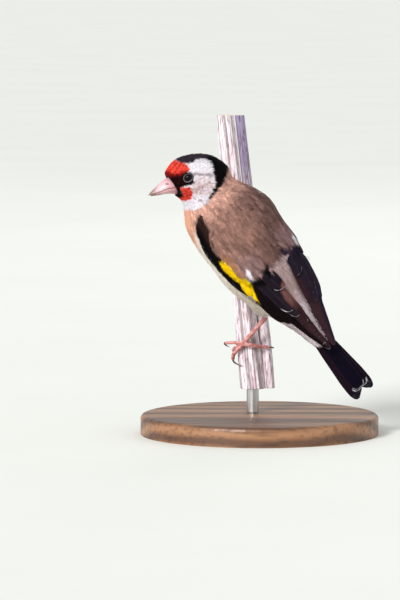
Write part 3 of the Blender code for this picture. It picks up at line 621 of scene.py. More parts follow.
def joinPieces(pieces, name):
    deselectAll()
    for piece in pieces:
        piece.select_set(True)
    bpy.context.view_layer.objects.active = pieces[0]
    bpy.ops.object.join()
    pieces[0].name = name
    pieces[0].data.name = name
    return pieces[0]


# Materials


def newMaterial(name):
    material = bpy.data.materials.new(name)
    material.use_nodes = True
    tree = material.node_tree
    return material, tree, tree.nodes["Principled BSDF"]


def feed(tree, socket, value):
    # a link where the value is another node's output, or else a constant
    if isinstance(value, bpy.types.NodeSocket):
        tree.links.new(value, socket)
    else:
        socket.default_value = value


def addNode(tree, kind, settings=None, **inputs):
    # inputs by name, or by number as i0, i1 and so on
    node = tree.nodes.new(kind)
    for key, value in (settings or {}).items():
        setattr(node, key, value)
    for key, value in inputs.items():
        byNumber = key[0] == "i" and key[1:].isdigit()
        feed(tree, node.inputs[int(key[1:]) if byNumber else key], value)
    return node


def addMath(tree, operation, first, second=0.0):
    return addNode(tree, "ShaderNodeMath", {"operation": operation}, i0=first, i1=second).outputs[0]


def addMix(tree, blend, share, first, second):
    settings = {"data_type": "RGBA", "blend_type": blend}
    return addNode(tree, "ShaderNodeMix", settings, i0=share, i6=first, i7=second).outputs[2]


def addAttribute(tree, name, output="Fac"):
    return addNode(tree, "ShaderNodeAttribute", {"attribute_name": name}).outputs[output]


def addRamp(tree, value, stops):
    node = tree.nodes.new("ShaderNodeValToRGB")
    ramp = node.color_ramp
    while len(ramp.elements) < len(stops):
        ramp.elements.new(0.5)
    for element, (place, colour) in zip(ramp.elements, stops):
        element.position = place
        element.color = (*colour, 1.0)
    tree.links.new(value, node.inputs[0])
    return node.outputs[0]


def grey(v):
    return (v, v, v)


def addNoise(tree, place, scale, detail, roughness=0.5):
    # 0.5 is the node's own roughness
    return addNode(tree, "ShaderNodeTexNoise", Vector=place, Scale=scale, Detail=detail, Roughness=roughness)


def stretched(tree, place, scale, **inputs):
    return addNode(tree, "ShaderNodeMapping", Vector=place, Scale=scale, **inputs).outputs[0]


def objectNoise(tree, scale, detail=4.0, stretch=(1, 1, 1)):
    place = addNode(tree, "ShaderNodeTexCoord").outputs["Object"]
    return addNoise(tree, stretched(tree, place, stretch), scale, detail, 0.55).outputs[0]


def addBump(tree, shader, height, strength, distance):
    bump = addNode(tree, "ShaderNodeBump", Height=height, Strength=strength, Distance=distance)
    tree.links.new(bump.outputs[0], shader.inputs["Normal"])


def paintTint(tree, shader, *shades):
    # the piece's painted tint, darkened and lightened by each shade
    colour = addAttribute(tree, "tint", "Color")
    for shade in shades:
        colour = addMix(tree, "MULTIPLY", 1.0, colour, shade)
    tree.links.new(colour, shader.inputs["Base Color"])


def addRoughness(tree, shader, value, low, high):
    # low and high are a place on the ramp and the roughness there
    ramp = addRamp(tree, value, [(place, grey(rough)) for place, rough in (low, high)])
    tree.links.new(ramp, shader.inputs["Roughness"])


def plumageMaterial():
    # soft body feathers: painted tint with a fine mottle, matt with a little sheen
    material, tree, shader = newMaterial("softFeathers")
    paintTint(tree, shader, addRamp(tree, objectNoise(tree, 1400.0), [(0.3, grey(0.86)), (0.7, grey(1.12))]))
    shader.inputs["Roughness"].default_value = 0.8
    shader.inputs["Specular IOR Level"].default_value = 0.05
    shader.inputs["Sheen Weight"].default_value = 0.03
    shader.inputs["Sheen Roughness"].default_value = 0.45
    shader.inputs["Sheen Tint"].default_value = (1.0, 0.95, 0.9, 1.0)
    addBump(tree, shader, objectNoise(tree, 3200.0, 2.0), 0.35, 0.00008)
    return material


def vaneMaterial():
    # flight feathers: painted tint, fine barbs slanting from the shaft with painted shade between them, a dull gloss
    material, tree, shader = newMaterial("flightVanes")
    lines = addMath(tree, "SINE", addMath(tree, "MULTIPLY", addAttribute(tree, "barb"), 14.0))
    uneven = objectNoise(tree, 500.0)
    ridge = addMath(tree, "MULTIPLY", lines, uneven)
    height = addNode(tree, "ShaderNodeMapRange", Value=ridge, i1=-0.6, i2=0.6).outputs[0]
    # painted shade and light on the barbs: darker between them, lighter on their ridges
    shade = addRamp(tree, height, [(0.0, grey(0.78)), (1.0, grey(1.2))])
    mottle = addRamp(tree, objectNoise(tree, 420.0), [(0.3, grey(0.82)), (0.72, grey(1.18))])
    paintTint(tree, shader, shade, mottle)
    addRoughness(tree, shader, uneven, (0.3, 0.4), (0.7, 0.56))
    shader.inputs["Specular IOR Level"].default_value = 0.03
    addBump(tree, shader, ridge, 0.5, 0.00006)
    return material


print("helpers ready")

# One skin under the feathers

skin = {
    "flesh": ["head", "neck", "torso", "rump", "thigh_left", "thigh_right"],
    "closing": 0.3,  # growth that closes the cuts between the nodes
    "voxel": 0.45,
    "armDepth": 1.9,
    "armReach": (-18.0, 21.0),  # along the back
    "tailReach": (-50.0, -36.0),
    "eyeBall": 2.35,
    "sunk": 0.78,  # share of the coat's depth that the skin lies inside the solids
    "tips": (0.30, 0.90),  # height of the coat at the bill, and what it gains over the body
    "crownTips": 0.35,
    # painted shade: the skin under the coat darker than the feathers over it
    "shadeUnderCoat": 0.85,  # tone of the skin against the feathers over it
}
leg = {
    "growth": 0.16,
    "voxel": 0.17,
    "scuteRise": 0.07,
    "scuteLength": (0.95, 0.62),  # on the shank and on the toes
    "base": linear(194, 120, 118),
    "dark": linear(126, 62, 62),
    "pale": linear(232, 184, 180),
}


def armCore(side):
    # the arm under the wing's feathers
    points = []
    rows, columns = 14, 8
    for x in np.linspace(*skin["armReach"], rows):
        inner, outer = readTable(edgeTable, x)
        share = min(max((6.0 - x) / 24.0, 0.0), 1.0)
        top = -0.15 - (skin["armDepth"] - 0.55) * share
        points += [wingPoint(side, x, d, top) for d in np.linspace(inner, outer, columns)]
        points += [wingPoint(side, x, d, -skin["armDepth"] - 0.6) for d in np.linspace(outer, inner, columns)]
    piece = meshPiece("armCore", points, tubeTriangles(rows, columns * 2))
    faceOutwards(piece)
    return piece


def tailCore():
    # the tail's root, which carries the tail coverts
    points = []
    rows, columns = 10, 20
    for x in np.linspace(*skin["tailReach"], rows):
        middle, halfWidth, rise, drop = readTable(torsoTable, x)
        for k in range(columns):
            angle = 2 * math.pi * k / columns
            height = rise if math.cos(angle) > 0 else drop
            points.append(bodyPoint(x, halfWidth * math.sin(angle), middle + height * math.cos(angle)))
    piece = meshPiece("tailCore", points, tubeTriangles(rows, columns))
    faceOutwards(piece)
    return piece


def eyeCentre(side):
    low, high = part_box("eye_" + sideWord[side])
    return np.array((low + high) / 2) / mm


def eyeOut(side):
    return unit(headLeft * side + headAhead * 0.34 + headUp * 0.12)


def billAxes():
    droop = math.radians(22.5)
    flat = unit([bird["headForward"][0], bird["headForward"][1], 0])
    ahead = flat * math.cos(droop) - np.array([0, 0, 1.0]) * math.sin(droop)
    toLeft = unit(headLeft - ahead * (headLeft @ ahead))
    return ahead, toLeft, np.cross(ahead, toLeft)


def billMiddle():
    base = headPoint(0, 0, 0)
    middle = base + headAhead * ((-35.0 - base[0]) / headAhead[0])
    return np.array([-35.0, middle[1], 101.5])


billAhead, billLeft, billUp = billAxes()
billBase = billMiddle()
ankles = {1: np.array(bird["ankleLeft"]), -1: np.array(bird["ankleRight"])}


def billCoords(points):
    w = points - billBase
    return w @ billAhead, w @ billLeft, w @ billUp


def billDistance(points):
    return np.linalg.norm(points - billBase, axis=1)


def ankleDistance(points):
    return np.minimum(*[np.linalg.norm(points - ankle, axis=1) for ankle in ankles.values()])


def overEye(points, reach):
    # where points lie over an eye, nearer its middle than reach
    covered = np.zeros(len(points), bool)
    for side in (1, -1):
        out = eyeOut(side)
        away = points - eyeCentre(side)
        height = away @ out
        covered |= (np.linalg.norm(away - height[:, None] * out, axis=1) < reach) & (height > 0)
    return covered


def coatDepth(points):
    # height of the feathers' tips over the skin
    depth = skin["tips"][0] + skin["tips"][1] * smoothStep(3.0, 30.0, billDistance(points))
    s, _, u = headCoords(points)
    depth = depth + skin["crownTips"] * smoothStep(5.5, 8.5, u) * smoothStep(-9.0, -3.0, s)
    return depth * (0.35 + 0.65 * smoothStep(2.0, 11.0, ankleDistance(points)))


def makeBodySkin():
    pieces = [nodeCopy(name) for name in skin["flesh"]]
    for side in (1, -1):
        pieces.append(armCore(side))
        bpy.ops.mesh.primitive_uv_sphere_add(
            segments=24, ring_count=16, radius=skin["eyeBall"] * mm, location=eyeCentre(side) * mm
        )
        ball = bpy.context.object
        bpy.ops.object.transform_apply(location=True)
        pieces.append(ball)
    pieces.append(tailCore())
    body = joinPieces(pieces, "goldfinchSkin")
    applyModifier(body, "DISPLACE", strength=skin["closing"] * mm, mid_level=0.0)
    applyModifier(body, "REMESH", mode="VOXEL", voxel_size=skin["voxel"] * mm)
    applyModifier(body, "SMOOTH", factor=0.5, iterations=8)
    points, normals = meshPoints(body.data), meshNormals(body.data)
    inset = skin["closing"] + skin["sunk"] * coatDepth(points)
    setPoints(body.data, points - normals * inset[:, None])
    applyModifier(body, "SMOOTH", factor=0.5, iterations=6)
    return body


def makeLegSkin(side):
    # bare leg and toes with their scutes, its top sunk in the thigh's feathers
    names = [kind + sideWord[side] for kind in ("tarsus_", "foot_")]
    piece = joinPieces([nodeCopy(name) for name in names], "legSkin")
    applyModifier(piece, "DISPLACE", strength=leg["growth"] * mm, mid_level=0.0)
    applyModifier(piece, "REMESH", mode="VOXEL", voxel_size=leg["voxel"] * mm)
    applyModifier(piece, "SMOOTH", factor=0.5, iterations=3)
    points, normals = meshPoints(piece.data), meshNormals(piece.data)
    ankle = ankles[side]
    low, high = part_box(names[0])
    hub = np.array(low + high) / mm - ankle
    run, down = hub - ankle, unit(hub - ankle)
    along = (points - ankle) @ down
    span = np.linalg.norm(run)
    onToes = np.maximum(
        smoothStep(span - 2.0, span + 0.5, along),
        smoothStep(2.0, 3.2, np.linalg.norm(np.cross(points - ankle, down), axis=1)),
    )
    shank, toe = leg["scuteLength"]
    phase = np.where(onToes > 0.5, np.linalg.norm(points - hub, axis=1) / toe, along / shank)
    step = phase - np.floor(phase)
    scute = smoothStep(0.0, 0.22, step) * (1 - 0.45 * smoothStep(0.3, 1.0, step))
    setPoints(piece.data, points + normals * (-leg["growth"] + leg["scuteRise"] * scute[:, None]))
    setValue(piece.data, "scute", scute)
    colour = mixed(leg["dark"], leg["base"], 0.3 + 0.7 * scute)
    colour = mixed(colour, leg["pale"], np.clip(0.25 + 0.35 * ripple(points, 2.2, 21), 0, 1))
    setTint(piece.data, np.clip(colour * (1 + 0.12 * ripple(points, 1.1, 22))[:, None], 0, 1))
    return piece


def legMaterial():
    # horny scales over skin, slightly waxy
    material, tree, shader = newMaterial("legScales")
    stain = addRamp(tree, objectNoise(tree, 900.0), [(0.35, (0.72, 0.66, 0.64)), (0.65, (1.1, 1.06, 1.05))])
    paintTint(tree, shader, stain)
    addRoughness(tree, shader, addAttribute(tree, "scute"), (0.0, 0.7), (1.0, 0.42))
    shader.inputs["Subsurface Weight"].default_value = 0.12
    shader.inputs["Subsurface Radius"].default_value = (0.9, 0.35, 0.2)
    shader.inputs["Subsurface Scale"].default_value = 0.0006
    addBump(tree, shader, objectNoise(tree, 2600.0, 3.0), 0.5, 0.00006)
    return material


bodySkin = makeBodySkin()
print("body skin:", len(bodySkin.data.polygons), "faces")
skinPoints = meshPoints(bodySkin.data)
# the skin's tint darkened as painted shade under the coat
setTint(bodySkin.data, coatColours(skinPoints) * skin["shadeUnderCoat"])
setValue(bodySkin.data, "scute", np.zeros(len(skinPoints)))
inEditMode(bodySkin, (bpy.ops.uv.smart_project, {"angle_limit": math.radians(66), "island_margin": 0.004}))
bodySkin.data.uv_layers[0].name = "OFBake"
print("skin unwrapped")

skinMesh = bodySkin.data
triVerts, triLoops = meshTriangles(skinMesh), meshTriangles(skinMesh, "loops")
skinUv = np.empty(len(skinMesh.loops) * 2)
skinMesh.uv_layers["OFBake"].data.foreach_get("uv", skinUv)
skinUv = skinUv.reshape(-1, 2)
skinNormals = meshNormals(skinMesh)
skinTree = BVHTree.FromPolygons([tuple(p) for p in skinPoints], [tuple(t) for t in triVerts])


def onSkin(points):
    # nearest places on the skin with their smooth normals
    places, normals = np.empty_like(points), np.empty_like(points)
    for i, p in enumerate(points):
        place, _, index, _ = skinTree.find_nearest(p)
        places[i] = place
        normals[i] = skinNormals[triVerts[index]].sum(0)
    return places, unit(normals)


# The coat: small feathers over the skin, each a fan of fine barbs

coat = {
    "barbs": 5,
    "spacing": (0.30, 0.54),  # on the face and on the body
    "length": (1.2, 4.8),
    "width": (0.55, 1.35),
    "mostInPiece": 4300,
    "patch": 0.003,  # side of a feather's patch on the bake's map
    "eyeFree": (1.95, 1.8),  # round the eye's middle, for roots and for tips
    "billFree": (3.4, 3.7, 2.9),  # half width, rise and drop of the bill's root
    "pieces": [
        ("coatHead", "plumage_head"),
        ("coatBack", "plumage_body"),
        ("coatUnder", "plumage_body"),
        ("coatWingLeft", "plumage_flight"),
        ("coatWingRight", "plumage_flight"),
    ],
}


def coatLie(points):
    # direction of the feathers: away from the bill on the head, then down the body, and down each thigh
    away = unit(points - (billBase + headUp * 0.5))
    share = smoothStep(13.0, 26.0, billDistance(points))[:, None]
    _, l, _ = bodyCoords(points)
    rear = -forward - left * (l * 0.006)[:, None]
    lie = away * (1 - share) + rear * share
    for ankle in ankles.values():
        towards = ankle - points
        near = smoothStep(13.0, 7.0, np.linalg.norm(towards, axis=1))[:, None]
        lie = lie * (1 - near) + unit(towards) * near
    return unit(lie)


def tangent(direction, normal):
    return unit(direction - normal * (direction * normal).sum(1, keepdims=True))


def scatterRoots():
    # seeded places over the skin, no two nearer than the local spacing
    corner = skinPoints[triVerts]
    area = np.linalg.norm(np.cross(corner[:, 1] - corner[:, 0], corner[:, 2] - corner[:, 0]), axis=1) / 2
    weight = area / coatSpacing(corner.mean(1)) ** 2
    picks = rng.choice(len(area), size=int(weight.sum() * 2.6), p=weight / weight.sum())
    a, b = rng.random(len(picks)), rng.random(len(picks))
    over = a + b > 1
    a[over], b[over] = 1 - a[over], 1 - b[over]
    a, b = a[:, None], b[:, None]
    corners = (corner[picks], skinUv[triLoops[picks]])
    places, uv = (rows[:, 0] * (1 - a - b) + rows[:, 1] * a + rows[:, 2] * b for rows in corners)
    cells, kept = {}, []
    cellSize = 0.6  # above the widest spacing
    around = list(itertools.product((-1, 0, 1), repeat=3))
    for i, (p, r) in enumerate(zip(places, coatSpacing(places))):
        cx, cy, cz = (int(v // cellSize) for v in p)
        if any(
            (p[0] - q[0]) ** 2 + (p[1] - q[1]) ** 2 + (p[2] - q[2]) ** 2 < r * r
            for dx, dy, dz in around
            for q in cells.get((cx + dx, cy + dy, cz + dz), ())
        ):
            continue
        cells.setdefault((cx, cy, cz), []).append(tuple(p))
        kept.append(i)
    return places[kept], uv[kept]


def coatSpacing(points):
    nearest, widest = coat["spacing"]
    spacing = nearest + (widest - nearest) * smoothStep(5.0, 30.0, billDistance(points))
    return spacing * (0.62 + 0.38 * smoothStep(3.0, 11.0, ankleDistance(points)))


def coatKeep(places):
    # no feathers under the bill or the eyes, nor where the flight feathers lie
    ahead, side, up = billCoords(places)
    wide, rise, drop = coat["billFree"]
    underBill = (ahead > -0.9) & ((side / wide) ** 2 + (np.where(up > 0, up / rise, up / drop)) ** 2 < 1.0)
    x, _, _, _ = wingCoords(places)
    _, brown = wingColours(places)
    share = wingShare(places)
    onFlight = (share > 0.5) & (x < -6.0) & (brown < 0.5) | (share > 0.9) & (x < -13.0)
    return ~underBill & ~overEye(places, coat["eyeFree"][0]) & ~(onFlight & (underWing(places) < 0.5))


def featherSizes(places):
    # length and width of each feather, smaller on the face, the wings and by the feet
    count = len(places)
    share = smoothStep(4.0, 30.0, billDistance(places))
    (shortest, longest), (narrowest, widest) = coat["length"], coat["width"]
    length = shortest + (longest - shortest) * share**1.1
    width = narrowest + (widest - narrowest) * share
    onWing, brown = wingShare(places), wingColours(places)[1]
    length *= 1 - 0.42 * onWing * (1 - brown)
    width *= 1 - 0.35 * onWing * (1 - brown)
    nearFoot = 1 - smoothStep(3.0, 12.0, ankleDistance(places))
    length *= 1 - 0.55 * nearFoot
    width *= 1 - 0.55 * nearFoot
    length *= 1 + 0.5 * smoothStep(-36, -44, wingCoords(places)[0])
    length *= rng.uniform(0.82, 1.15, count)
    width *= rng.uniform(0.85, 1.15, count)
    return length, width


def featherTones(places, tips):
    # most feathers keep near their place's tone, some are paler and some darker
    count = len(places)
    x, degrees, _, _ = wingCoords(places)
    leaving = (wingShare(places) > 0.5) & (wingShare(tips) < 0.5) & (degrees > 45)
    colour = coatColours(np.where(leaving[:, None], places, tips))
    vary = rng.uniform(0.88, 1.10, count)
    for lowest, highest in ((1.12, 1.30), (0.66, 0.84)):
        vary *= np.where(rng.random(count) < 0.14, rng.uniform(lowest, highest, count), 1.0)
    isPale = np.maximum(smoothStep(0.35, 0.7, colour.mean(1)), 0.7 * smoothStep(12, 19, x))
    return colour * (vary + (1 - vary) * 0.6 * isPale)[:, None]


def makeCoat():
    places, uv = scatterRoots()
    keep = coatKeep(places)
    places, uv = places[keep], uv[keep]
    count = len(places)
    # each feather has a root, a middle and a tip, with the skin's normal and its own lie at each
    _, n0 = onSkin(places)
    length, width = featherSizes(places)
    f0 = tangent(coatLie(places) + 0.05 * rng.normal(size=(count, 3)), n0)
    s1, n1 = onSkin(places + f0 * (length * 0.5)[:, None])
    f1 = tangent(coatLie(s1) + 0.03 * rng.normal(size=(count, 3)), n1)
    s2, n2 = onSkin(s1 + f1 * (length * 0.5)[:, None])
    f2 = tangent(f1, n2)
    depth = coatDepth(places)
    p0 = places - n0 * 0.2
    p1 = s1 + n1 * (depth * rng.uniform(0.5, 0.68, count))[:, None]
    p2 = s2 + n2 * (depth * rng.uniform(0.85, 1.2, count))[:, None]
    # scapulars and lesser coverts ride over the wing's feathers
    for p, low in ((p1, 0.05), (p2, 0.32)):
        x, degrees, side, lift = wingCoords(p)
        over = wingShare(p) * smoothStep(14.0, 6.0, x) * (1 - underWing(p))
        wanted = lift * (1 - over) + np.maximum(lift, low + 0.15 * rng.random(count)) * over
        p[:] = np.where((over > 0.02)[:, None], wingPoint(side, x, degrees, wanted), p)
    tones = featherTones(places, p2 * 0.7 + p1 * 0.3)
    picked = np.flatnonzero(~overEye(p1, coat["eyeFree"][1]) & ~overEye(p2, coat["eyeFree"][1]))
    roots, middles, tips = p0[picked], p1[picked], p2[picked]
    normals = [v[picked] for v in (n0, n1, n2)]
    sides = [np.cross(v, f)[picked] for v, f in ((n0, f0), (n1, f1), (n2, f2))]
    rear, wide, long, tones, spots = (v[picked] for v in (f2, width, length, tones, uv))
    # a barb has three corners at its root, three at its middle and its tip
    barbs, perBarb, feathers = coat["barbs"], 7, len(picked)
    vertices, shades, facing = (np.empty((feathers, barbs, perBarb, 3)) for _ in range(3))
    patch = np.empty((feathers, barbs, perBarb, 2))
    for j, o in enumerate(np.linspace(-1, 1, barbs)):
        jitter = rng.normal(size=feathers) * 0.05
        cut = 0.22 * o * o + rng.uniform(-0.10, 0.10, feathers)
        tone = tones * rng.uniform(0.8, 1.15, feathers)[:, None]
        root = roots + sides[0] * (o * 0.10 * wide)[:, None]
        middle = middles + sides[1] * ((o * 0.40 + jitter) * wide)[:, None]
        middle = middle - normals[1] * (0.06 * abs(o) * wide)[:, None]
        tip = tips + sides[2] * ((o * 0.46 + jitter) * wide)[:, None] - rear * (cut * long)[:, None]
        high = (0.05 + 0.05 * wide)[:, None]
        for level, spot, half in ((0, root, 0.10 * wide), (1, middle, wide / barbs * 0.62)):
            vertices[:, j, 3 * level] = spot - sides[level] * half[:, None]
            vertices[:, j, 3 * level + 1] = spot + sides[level] * half[:, None]
            vertices[:, j, 3 * level + 2] = spot + normals[level] * high
        vertices[:, j, 6] = tip - normals[1] * (0.05 * abs(o) * wide)[:, None]
        for k, turned in enumerate((-0.5, 0.5, 0.0, -0.5, 0.5, 0.0, 0.0)):
            level = k // 3
            towardsTip = rear * (0.25 if level == 2 else 0.0)
            facing[:, j, k] = unit(normals[level] + sides[level] * (turned + 0.25 * o) + towardsTip)
            # painted shade under the coat: each barb darker at its root and a little lighter at its tip
            shades[:, j, k] = tone * (0.75, 1.02, 1.08)[level]
            acrossPatch = (0.5 + 0.5 * o) * 0.8 + 0.06 * (k % 3) - 0.45
            patch[:, j, k] = spots + coat["patch"] * np.array([acrossPatch, level / 2 - 0.5])
    barbFaces = np.array([
        (0, 3, 5), (0, 5, 2), (2, 5, 4), (2, 4, 1), (1, 4, 3), (1, 3, 0), (3, 6, 5), (5, 6, 4), (4, 6, 3), (0, 2, 1)
    ])
    # regions of the coat, so that every piece stays light
    reach, onSide = billDistance(roots), wingCoords(roots)[2]
    region = np.where(reach < 20, 0, np.where(trunkAngle(roots) < 66, 1, 2))
    region = np.where((wingShare(roots) > 0.5) & (reach >= 20), np.where(onSide > 0, 3, 4), region)
    for r, (name, slot) in enumerate(coat["pieces"]):
        members = np.flatnonzero(region == r)
        members = members[np.argsort(reach[members])]
        parts = max(1, math.ceil(len(members) / coat["mostInPiece"]))
        for number, chunk in enumerate(np.array_split(members, parts)):
            starts = np.arange(len(chunk) * barbs) * perBarb
            triangles = (starts[:, None, None] + barbFaces[None]).reshape(-1, 3)
            piece = meshPiece(f"{name}{number + 1}", vertices[chunk].reshape(-1, 3), triangles)
            setTint(piece.data, np.clip(shades[chunk].reshape(-1, 3), 0, 1))
            setUv(piece.data, "OFBake", patch[chunk].reshape(-1, 2))
            piece.data.normals_split_custom_set_from_vertices(facing[chunk].reshape(-1, 3))
            finishPiece(piece, softFeathers)
            print(" ", piece.name, len(chunk), "feathers", len(triangles), "triangles")


softFeathers = plumageMaterial()
legScales = legMaterial()
legs = [makeLegSkin(1), makeLegSkin(-1)]
for piece in legs:
    piece.data.uv_layers.new(name="OFBake")
bodyFaces = len(bodySkin.data.polygons)
bodySkin = joinPieces([bodySkin] + legs, "goldfinchSkin")
legNodes = [kind + word for kind in ("tarsus_", "foot_") for word in sideWord.values()]
finishPiece(bodySkin, softFeathers, skin["flesh"] + legNodes)
bodySkin.data.materials.append(legScales)
indices = np.zeros(len(bodySkin.data.polygons), np.int32)
indices[bodyFaces:] = 1
bodySkin.data.polygons.foreach_set("material_index", indices)
print("skin finished:", len(indices), "faces")
makeCoat()
print("coat finished")

# Wings: every flight feather and covert as its own vane

wing = {
    "tilt": 0.2,
    "thickness": 0.24,
    "rows": 22,
    "seed": 31,
    # places along the back, and degrees from its midline, where the stripe between the wings ends
    "stripe": {
        1: ((-52, -40, -34, -27.5, -20.8, -14.2, -11.8), (0, 3.5, 5.5, 7, 8.5, 9.5, 10.5)),
        -1: ((-52, -40, -33, -26.8, -20.8, -14.8, -12), (0, 5, 9, 9, 11.5, 13.5, 13.5)),
    },
    "columns": (-1.0, -0.94, -0.8, -0.6, -0.35, -0.1, 0.15, 0.4, 0.62, 0.8, 0.94, 1.0),
    # name, how many, root and tip of the innermost, root and tip of the outermost,
    # width, height, place of the shaft, whiteness of the tip
    "tiers": [
        ("primary", 8, (-12.0, 23.0), (-38.0, 15.0), (-15.0, 50.0), (-52.0, 13.0), 5.2, -1.15, 0.35, 0.3),
        ("secondary", 7, (-11.0, 30.0), (-38.0, 24.0), (-12.0, 55.0), (-31.8, 46.5), 5.2, -0.75, 0.25, 0.0),
        ("tertial", 1, (-9.0, 40.0), (-33.6, 20.0), (-9.0, 40.0), (-33.6, 20.0), 5.6, -0.42, 0.15, 0.7),
        ("tertial", 1, (-8.0, 33.0), (-30.2, 23.5), (-8.0, 33.0), (-30.2, 23.5), 6.6, -0.26, 0.15, 1.0),
        ("tertial", 1, (-7.0, 25.0), (-20.9, 15.5), (-7.0, 25.0), (-20.9, 15.5), 6.2, -0.1, 0.15, 1.0),
        ("primaryCovert", 5, (3.0, 64.0), (-16.0, 60.0), (9.0, 78.0), (-10.0, 70.0), 3.8, -0.7, 0.2, 0.0),
        ("greaterCovert", 9, (4.0, 32.0), (-9.5, 29.0), (8.0, 70.0), (-6.0, 66.0), 4.6, -0.1, 0.15, 0.0),
    ],
}


def vaneOutline(t, pointed):
    # half width along a feather, 1 at its widest
    body = np.interp(t, [0.0, 0.15, 0.4, 0.75, 0.9], [0.4, 0.72, 0.95, 1.0, 0.9 - 0.12 * pointed])
    end = np.sqrt(np.clip(1 - ((t - 0.86) / 0.142) ** 2, 0.0, 1.0))
    return np.where(t > 0.86, body * (0.12 + 0.88 * end), body)


def vaneRows(count):
    t = np.linspace(0, 1, count)
    return 1 - (1 - t) ** 1.5


def closedVane(top, under, rows, columns):
    # triangles of a thin closed vane over two grids of points
    count = rows * columns
    triangles = [gridTriangles(rows, columns), gridTriangles(rows, columns, count, flip=True)]
    edge = list(range(columns)) + [r * columns + columns - 1 for r in range(1, rows)]
    edge += [(rows - 1) * columns + c for c in range(columns - 2, -1, -1)]
    edge += [r * columns for r in range(rows - 2, 0, -1)]
    rim = []
    for a, b in zip(edge, edge[1:] + edge[:1]):
        rim += [(a, count + a, count + b), (a, count + b, b)]
    return np.concatenate([top, under]), np.concatenate(triangles + [np.array(rim)])


def vaneColumns(shaftAt, nudge=0.0):
    # places across a vane, -1 to 1, with three more at its shaft
    shaft = [shaftAt - 0.05, shaftAt + nudge, shaftAt + 0.05]
    return np.sort(np.append(np.array(wing["columns"]), shaft))[None, :]


def shaftRidge(e, shaftAt, t, height):
    return height * np.exp(-(((e - shaftAt) / 0.06) ** 2)) * (1 - 0.7 * t)


def featherPiece(name, feathers, node):
    # one piece from the points, triangles, tints and barb lines of its feathers
    points, triangles, tints, barbs = zip(*feathers)
    starts = np.cumsum([0] + [len(p) for p in points[:-1]])
    piece = meshPiece(name, np.concatenate(points), np.concatenate([t + s for t, s in zip(triangles, starts)]))
    setTint(piece.data, np.clip(np.concatenate(tints), 0, 1))
    setValue(piece.data, "barb", np.concatenate(barbs))
    finishPiece(piece, flightVanes, [node])
    print(name, len(feathers), "feathers", len(piece.data.polygons), "triangles")


def vaneTones(kind, side, flatPoints, e, t, half, run, tipWhite):
    # tint of a wing feather: its place's colour, a browner edge, a worn white fringe round the tip
    e, t, toEdge = e + 0 * t, t + 0 * e, ((1 - np.abs(e)) * half).ravel()
    colour, _ = wingColours(flatPoints, vane=True)
    if kind == "tertial":
        colour = mixed(colour, plumage["tertial"], 0.8 * (1 - smoothStep(0.02, 0.06, colour.max(1))))
    rim = np.minimum(((1 - t) * run).ravel() + 0.1, toEdge + 0.02)
    outerSide = smoothStep(-0.75, 0.1, e).ravel()
    low, high = (0.84, 0.92) if kind == "tertial" else (0.95, 0.975)
    broken = 0.55 + 0.45 * ripple(flatPoints, 1.2, 33)
    fringe = (1 - smoothStep(0.14, 0.34, rim)) * smoothStep(low, high, t.ravel()) * outerSide * broken
    fringe = np.clip(fringe * tipWhite * (1.0 if side > 0 else 0.3), 0, 1)
    dark = 1 - smoothStep(0.02, 0.08, colour.max(1))
    colour = mixed(colour, plumage["maroon"], 0.06 * dark * (1 - smoothStep(0.08, 0.34, toEdge)))
    return mixed(colour, mixed(plumage["white"], plumage["cheek"], 0.2), fringe)


def makeWing(side, name, node):
    feathers = []
    draw = np.random.default_rng(wing["seed"])
    rows = wing["rows"]
    t = vaneRows(rows)[:, None]
    for kind, count, rootIn, tipIn, rootOut, tipOut, width, lift, shaftAt, tipWhite in wing["tiers"]:
        for k in range(count):
            share = k / max(count - 1, 1)
            root = [a + (b - a) * share for a, b in zip(rootIn, rootOut)]
            tip = [a + (b - a) * share for a, b in zip(tipIn, tipOut)]
            tip[0] += draw.uniform(-0.4, 0.4) * (count > 1)
            e = vaneColumns(shaftAt)
            nick = 1 - 0.05 * draw.random((rows, 1)) * (draw.random((rows, 1)) < 0.35)
            half = width / 2 * vaneOutline(t, 1.0 if kind == "primary" else 0.0)
            spread = e * np.where(np.abs(e) > 0.9, nick, 1.0)
            along = root[0] + (tip[0] - root[0]) * t + 0 * e
            degrees = root[1] + (tip[1] - root[1]) * t
            halfWidth, rise = readTable(wingTable, along)
            angle = np.radians(degrees)
            radius = np.hypot(halfWidth * np.cos(angle), rise * np.sin(angle))
            turned = degrees + np.degrees(spread * half / radius)
            # the vanes' inner edges end at the stripe between the wings
            limit = np.interp(along, *wing["stripe"][side])
            turned = np.where(turned < limit, limit - 0.15 * (limit - turned), turned)
            sink = 0.95 * (1 - smoothStep(0.0, 0.35, t))
            drop = -0.04 * k * (5 / max(count - 1, 1))
            height = lift + drop + wing["tilt"] * spread * half + 0.16 * (1 - e**2) - sink
            thick = wing["thickness"] * (0.35 + 0.65 * (1 - np.abs(e))) * (1 - 0.5 * t)
            high = height + thick / 2 + shaftRidge(e, shaftAt, t, 0.10)
            levels = (high, height - thick / 2, 0.0 * along)
            top, under, flat = (wingPoint(side, along, turned, level).reshape(-1, 3) for level in levels)
            points, triangles = closedVane(top, under, rows, e.shape[1])
            if side < 0:
                triangles = triangles[:, ::-1]
            run = np.hypot(tip[0] - root[0], (tip[1] - root[1]) * degreeWidth)
            colour = vaneTones(kind, side, flat, e, t, half, run, tipWhite)
            shaftTone = np.exp(-(((e - shaftAt) / 0.05) ** 2) + 0 * t).ravel()
            colour = mixed(colour, colour * 0.6 + 0.012, shaftTone) * draw.uniform(0.92, 1.08)
            barb = (along + np.abs(e - shaftAt) * half * 1.1).ravel()
            feathers.append((points, triangles, np.concatenate([colour, colour * 0.8]), np.tile(barb, 2)))
    featherPiece(name, feathers, node)


flightVanes = vaneMaterial()
makeWing(1, "wingFeathersLeft", "wing_left")
makeWing(-1, "wingFeathersRight", "wing_right")

# Tail

